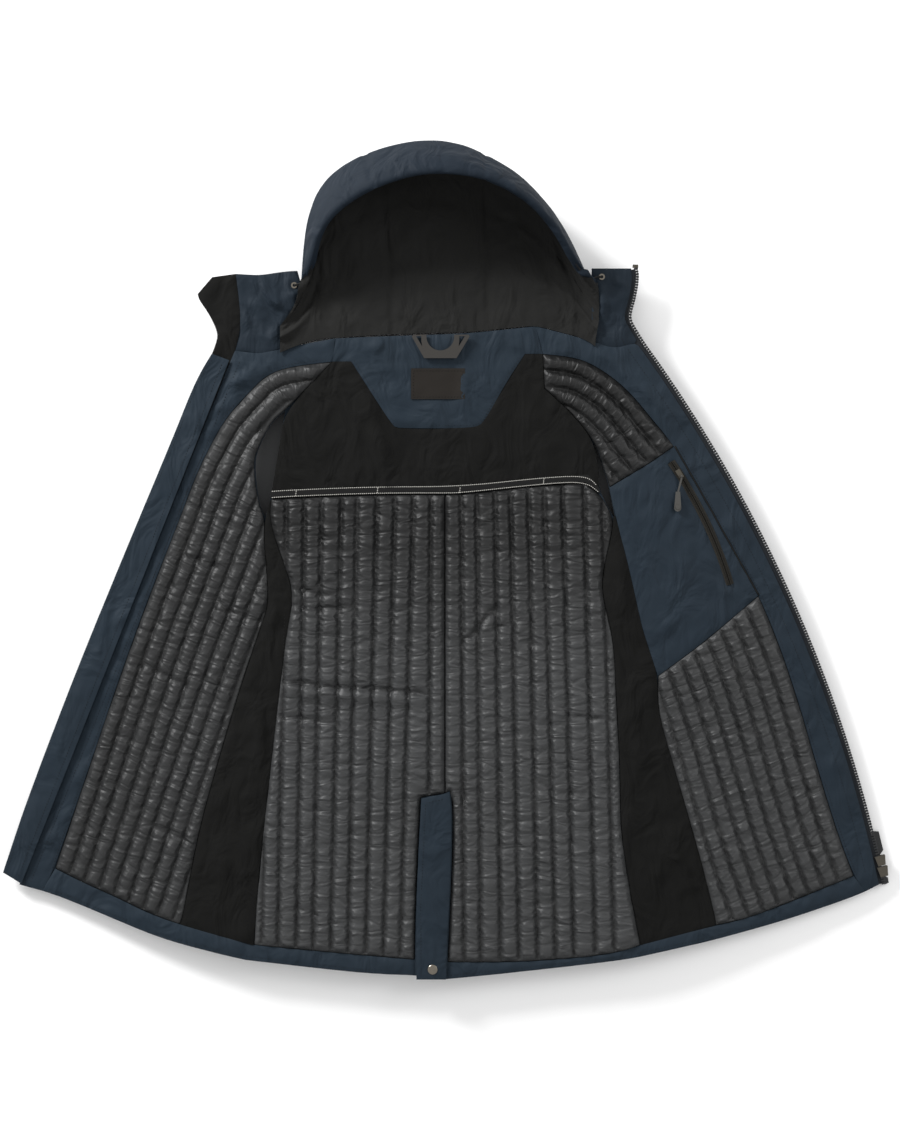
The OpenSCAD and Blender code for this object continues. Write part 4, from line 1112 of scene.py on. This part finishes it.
def sleeve_skin(node, side, inset, wall, low, high, material, name=None, step=0.009):
    """One layer of a sleeve: a flattened tube, open at the cuff, and at the armhole if it reaches there."""
    whole = D(*[(side * x, y) for x, y in SLEEVE])
    if loop_turn(whole) < 0:
        whole = whole[::-1]
    cut = clipped(whole, D((0, low))[0, 1], D((0, high))[0, 1])
    hole = D(*ARMHOLE[side])
    if loop_turn(hole) > 0:
        hole = hole[::-1]
    # the edge that runs round the sleeve from one side of its cuff to the other
    side_line = np.array([q for q in spaced(closed(whole), 0.004) if q[1] > D((0, CUFF_Y))[0, 1] + 0.0005])
    gap = np.argmax(np.linalg.norm(np.diff(closed(side_line), axis=0), axis=1))
    side_line = np.roll(side_line, -(gap + 1), axis=0)
    mid, half_h = SLEEVE_H / 2, SLEEVE_H / 2 - inset

    def rise(p):
        d = seg_dist(p, side_line)[0]
        return half_h * np.sqrt(np.clip(1 - (1 - np.minimum(d, SLEEVE_ROUND) / SLEEVE_ROUND) ** 2, 0, 1))

    top_v, top_t, _, _ = filled([cut, hole] if high > CUFF_TOP else [cut], step)
    low_v, low_t, _, _ = filled([cut], step)
    ripple = 0.9 * MM * field(top_v, 0.05, 40 + side, 3)
    z_top = mid + rise(top_v) + np.minimum(ripple, 0) * smooth(rise(top_v) / half_h)
    z_low = mid - rise(low_v)
    verts = np.vstack([three(top_v, z_top), three(low_v, z_low)])
    faces = [tuple(t) for t in top_t] + [tuple(t[::-1] + len(top_v)) for t in low_t]
    obj = mesh_object(name or node + "_cloth", verts, faces)
    weld = obj.modifiers.new("weld", "WELD")
    weld.merge_threshold = 0.0004
    wall_mod = obj.modifiers.new("wall", "SOLIDIFY")
    wall_mod.thickness = wall
    wall_mod.offset = -1
    dressed(obj, material, replaces=(node,))


for side, word in ((-1, "right"), (1, "left")):
    sleeve_skin("sleeve_shell_" + word, side, 0, 0.0022, CUFF_Y, SLEEVE_TOP, "navy", f"sleeve_{word}_cloth")
    sleeve_skin("sleeve_lining_" + word, side, 0.0026, 0.0018, CUFF_TOP + 1, SLEEVE_TOP, "lining")
    sleeve_skin("cuff_facing_" + word, side, 0.0026, 0.0018, CUFF_Y, CUFF_TOP, "navy")

# ---- zips ----

ZIP_MID, ZIP_R = (-1238, -806), 1851
TAPE_LOW = SHELL_TOP + 0.0001
CHAIN_MID = TAPE_LOW + 0.0003
COLLAR_ZIP = [(254, 290), (245, 305), (238.5, 316), (239, 326), (245, 346), (249, 372), (247, 383)]


def arc(mid, radius, degrees):
    return [(mid[0] + radius * math.cos(a), mid[1] + radius * math.sin(a)) for a in np.radians(degrees)]


left_tips = curve(arc(ZIP_MID, ZIP_R, np.linspace(12.1, 36.2, 60)) + COLLAR_ZIP[1:], 0.002)
FLAP_SEAM = D((-556, -419), (-283, 263))
right_tips = spaced(offset_line(FLAP_SEAM, 13 * MM), 0.002)[7:]


def strip_cloth(name, line, near, far, low, high, material, replaces):
    """A narrow strip of cloth between two offsets to the left of a line, which lies as the body does."""
    line = spaced(line, 0.004)
    t = np.linspace(0, 1, 4)
    grid = np.stack([offset_line(line, near + (far - near) * k) for k in t], axis=1)
    flat = grid.reshape(-1, 2)
    base = ground(flat).reshape(grid.shape[:2])
    top = np.concatenate([grid, (base + high)[..., None]], axis=-1)
    under = np.concatenate([grid, (base + low)[..., None]], axis=-1)
    if near > far:
        top, under = top[:, ::-1], under[:, ::-1]
    obj = grid_sheet(name, top[::-1], under[::-1], material, replaces)
    return obj


def tooth_row(name, line, inward, material, replaces, pitch=0.0036, width=0.0052, thick=0.0030,
              mid=CHAIN_MID):
    """Moulded teeth along a line of their tips: each a waisted block, set on the tape's edge."""
    line = spaced(line, pitch)
    base = ground(line) + mid
    t = unit(np.gradient(line, axis=0))
    side = left_of(t) * inward
    profile = [(0.0, 0.30), (0.12, 0.44), (0.34, 0.44), (0.48, 0.36), (0.72, 0.40), (1.0, 0.40)]
    ring = [(s * width, h * pitch) for s, h in profile + [(s, -h) for s, h in profile[::-1]]]
    verts, faces = [], []
    for i, q in enumerate(line):
        n0 = len(verts)
        for z, shrink in ((-0.5, 0.86), (-0.34, 1.0), (0.34, 1.0), (0.5, 0.80)):
            for s, h in ring:
                p = q + side[i] * (width / 2 + (s - width / 2) * shrink) + t[i] * h * shrink
                verts.append((p[0], p[1], base[i] + z * thick))
        faces += rod_faces(4, len(ring), n0)
    obj = mesh_object(name, np.array(verts), faces if inward < 0 else [f[::-1] for f in faces], sharp=40)
    return dressed(obj, material, replaces=replaces)


strip_cloth("zip_tape_left_woven", left_tips, 0.0035, 0.017, TAPE_LOW, TAPE_LOW + 0.0006, "zip_tape",
            ("zip_tape_left",))
tooth_row("zip_teeth_left_row", left_tips, 1, "teeth", ("zip_teeth_left",))
strip_cloth("zip_tape_right_woven", spaced(FLAP_SEAM, 0.002)[7:-2], 0.0095, -0.003, TAPE_LOW,
            TAPE_LOW + 0.0006, "zip_tape", ("zip_tape_right",))
tooth_row("zip_teeth_right_row", right_tips[:-3], -1, "teeth", ("zip_teeth_right",))

pocket_arc = D(*arc(POCKET_MID, POCKET_R, np.linspace(16.7, 34.9, 70)))
strip_cloth("pocket_zip_tape_woven", pocket_arc, -0.0052, 0.0052, FACING_TOP - 0.0012, FACING_TOP - 0.0004,
            "pocket_zip", ("pocket_zip_tape",))
for i, side in enumerate((1, -1)):
    tooth_row(f"pocket_zip_coil_{i + 1}", offset_line(pocket_arc, 0.0006 * side), side, "pocket_zip",
              ("pocket_zip_coil",), pitch=0.0015, width=0.0013, thick=0.0018, mid=FACING_TOP + 0.0005)

# ---- label, tape marks, piping and top stitching ----

navy_panels = ("front_facing_right", "front_facing_left", "hem_facing_right", "hem_facing_left",
               "neck_facing", "collar_facing_right", "collar_facing_left", "pocket_panel")
on_navy = sampler(np.vstack([surfaces[k] for k in navy_panels]))
on_neck = sampler(surfaces["neck_facing"])
xs, ys = np.linspace(-48, 22, 30), np.linspace(213, 253, 18)
gx, gy = np.meshgrid(xs, ys, indexing="ij")
spots = D(*np.stack([gx.ravel(), gy.ravel()], axis=1))
wave = 0.5 * MM * field(spots, 0.03, 50, 2)
z = on_neck(spots) * 0.4 + (LIFT + FACING_TOP) * 0.6 + wave + 0.0011
label_top = three(spots, z).reshape(30, 18, 3)
label = grid_sheet("neck_label_woven", label_top, label_top - np.array([0, 0, 0.0011]), "label",
                   ("neck_label",))
stitches("stitches_label", [closed(D((-45, 216), (19, 216), (19, 250), (-45, 250)))],
         sampler(three(spots, z)), "label_thread", width=0.0006, lift=0.0002)

tape_low_line = curve([(-229, 85), (-198, 87), (-92, 91), (-4, 91), (15, 91), (124, 103), (178, 106),
                       (196, 92)], 0.004)
tape_top_line = curve([(-229, 93), (-198, 95), (-92, 99), (15, 99), (124, 111), (181, 113.5), (194, 100)],
                      0.004)
ticks = [D((x, y), (x + 1, y + 8)) for x, y in ((-198, 87), (-92, 91), (15, 91), (124, 103))]
stitches("stitches_yoke_tape", [tape_low_line, tape_top_line] + ticks, sampler(surfaces["yoke_tape"]),
         "tape_line", length=0.0022, gap=0.0004, width=0.0011)

flap_edge = D((-581, -404), (-549, -308), (-489, -152), (-425, 4), (-359, 160), (-328, 238), (-310, 268))
topstitch = [
    offset_line(spaced(right_outer, 0.004), 0.0035),
    offset_line(spaced(left_outer, 0.004), -0.0035),
    offset_line(spaced(D((-530, -428), (-499, -438), (-436, -464), (-372, -490), (-300, -508), (-264, -516),
                         (-108, -534), (-46, -536)), 0.004), 0.005),
    offset_line(spaced(D((4, -541), (83, -533), (231, -516), (300, -501), (351, -490), (446, -464),
                         (523, -438)), 0.004), 0.005),
    offset_line(left_tips[10:-40:2], 0.0235),
    offset_line(spaced(D((-273, 262), (-548, -419)), 0.004), 0.002),
    spaced(D((-72, 182), (-65, 179), (35, 179), (46, 186), (72, 235), (96, 270)), 0.004),
    spaced(D((-122, 263), (-69, 181)), 0.004),
    offset_line(spaced(D((405, -42), (389, -14), (342, 70), (297, 150)), 0.004), -0.0035),
]
stitches("stitches_navy", topstitch, on_navy, "thread")
stitches("stitches_storm_flap",
         [offset_line(spaced(flap_edge, 0.004), -0.004), spaced(D((-294, 258), (-562, -412)), 0.004)],
         sampler(surfaces["storm_flap"]), "thread", body="storm_flap")
stitches("stitches_vent_flap",
         [spaced(D((-35, -536), (-35.5, -445), (-29, -312)), 0.004), spaced(D((-29, -312), (-3, -306)), 0.004)],
         sampler(surfaces["vent_flap"]), "thread", body="vent_flap")
piping_line = spaced(D((405, -42), (389, -14), (342, 70), (295, 152)), 0.004)
tube_object("pocket_piping", three(piping_line, on_navy(piping_line) + 0.0004), 0.0011, "tape")

# ---- hard parts that keep their CAD shape ----

for material, names in (("gunmetal", ("slider_upper", "slider_lower", "pocket_slider", "zip_top_stop_left")),
                        ("teeth", ("slider_pull_upper", "slider_pull_lower", "zip_pin_right")),
                        ("nickel", ("snap_cap", "snap_socket", "snap_stud", "cord_eyelets")),
                        ("pull", ("pocket_pull",)), ("loop", ("hanger_loop",))):
    for node in names:
        nodes[node].data.materials.clear()
        nodes[node].data.materials.append(M[material])
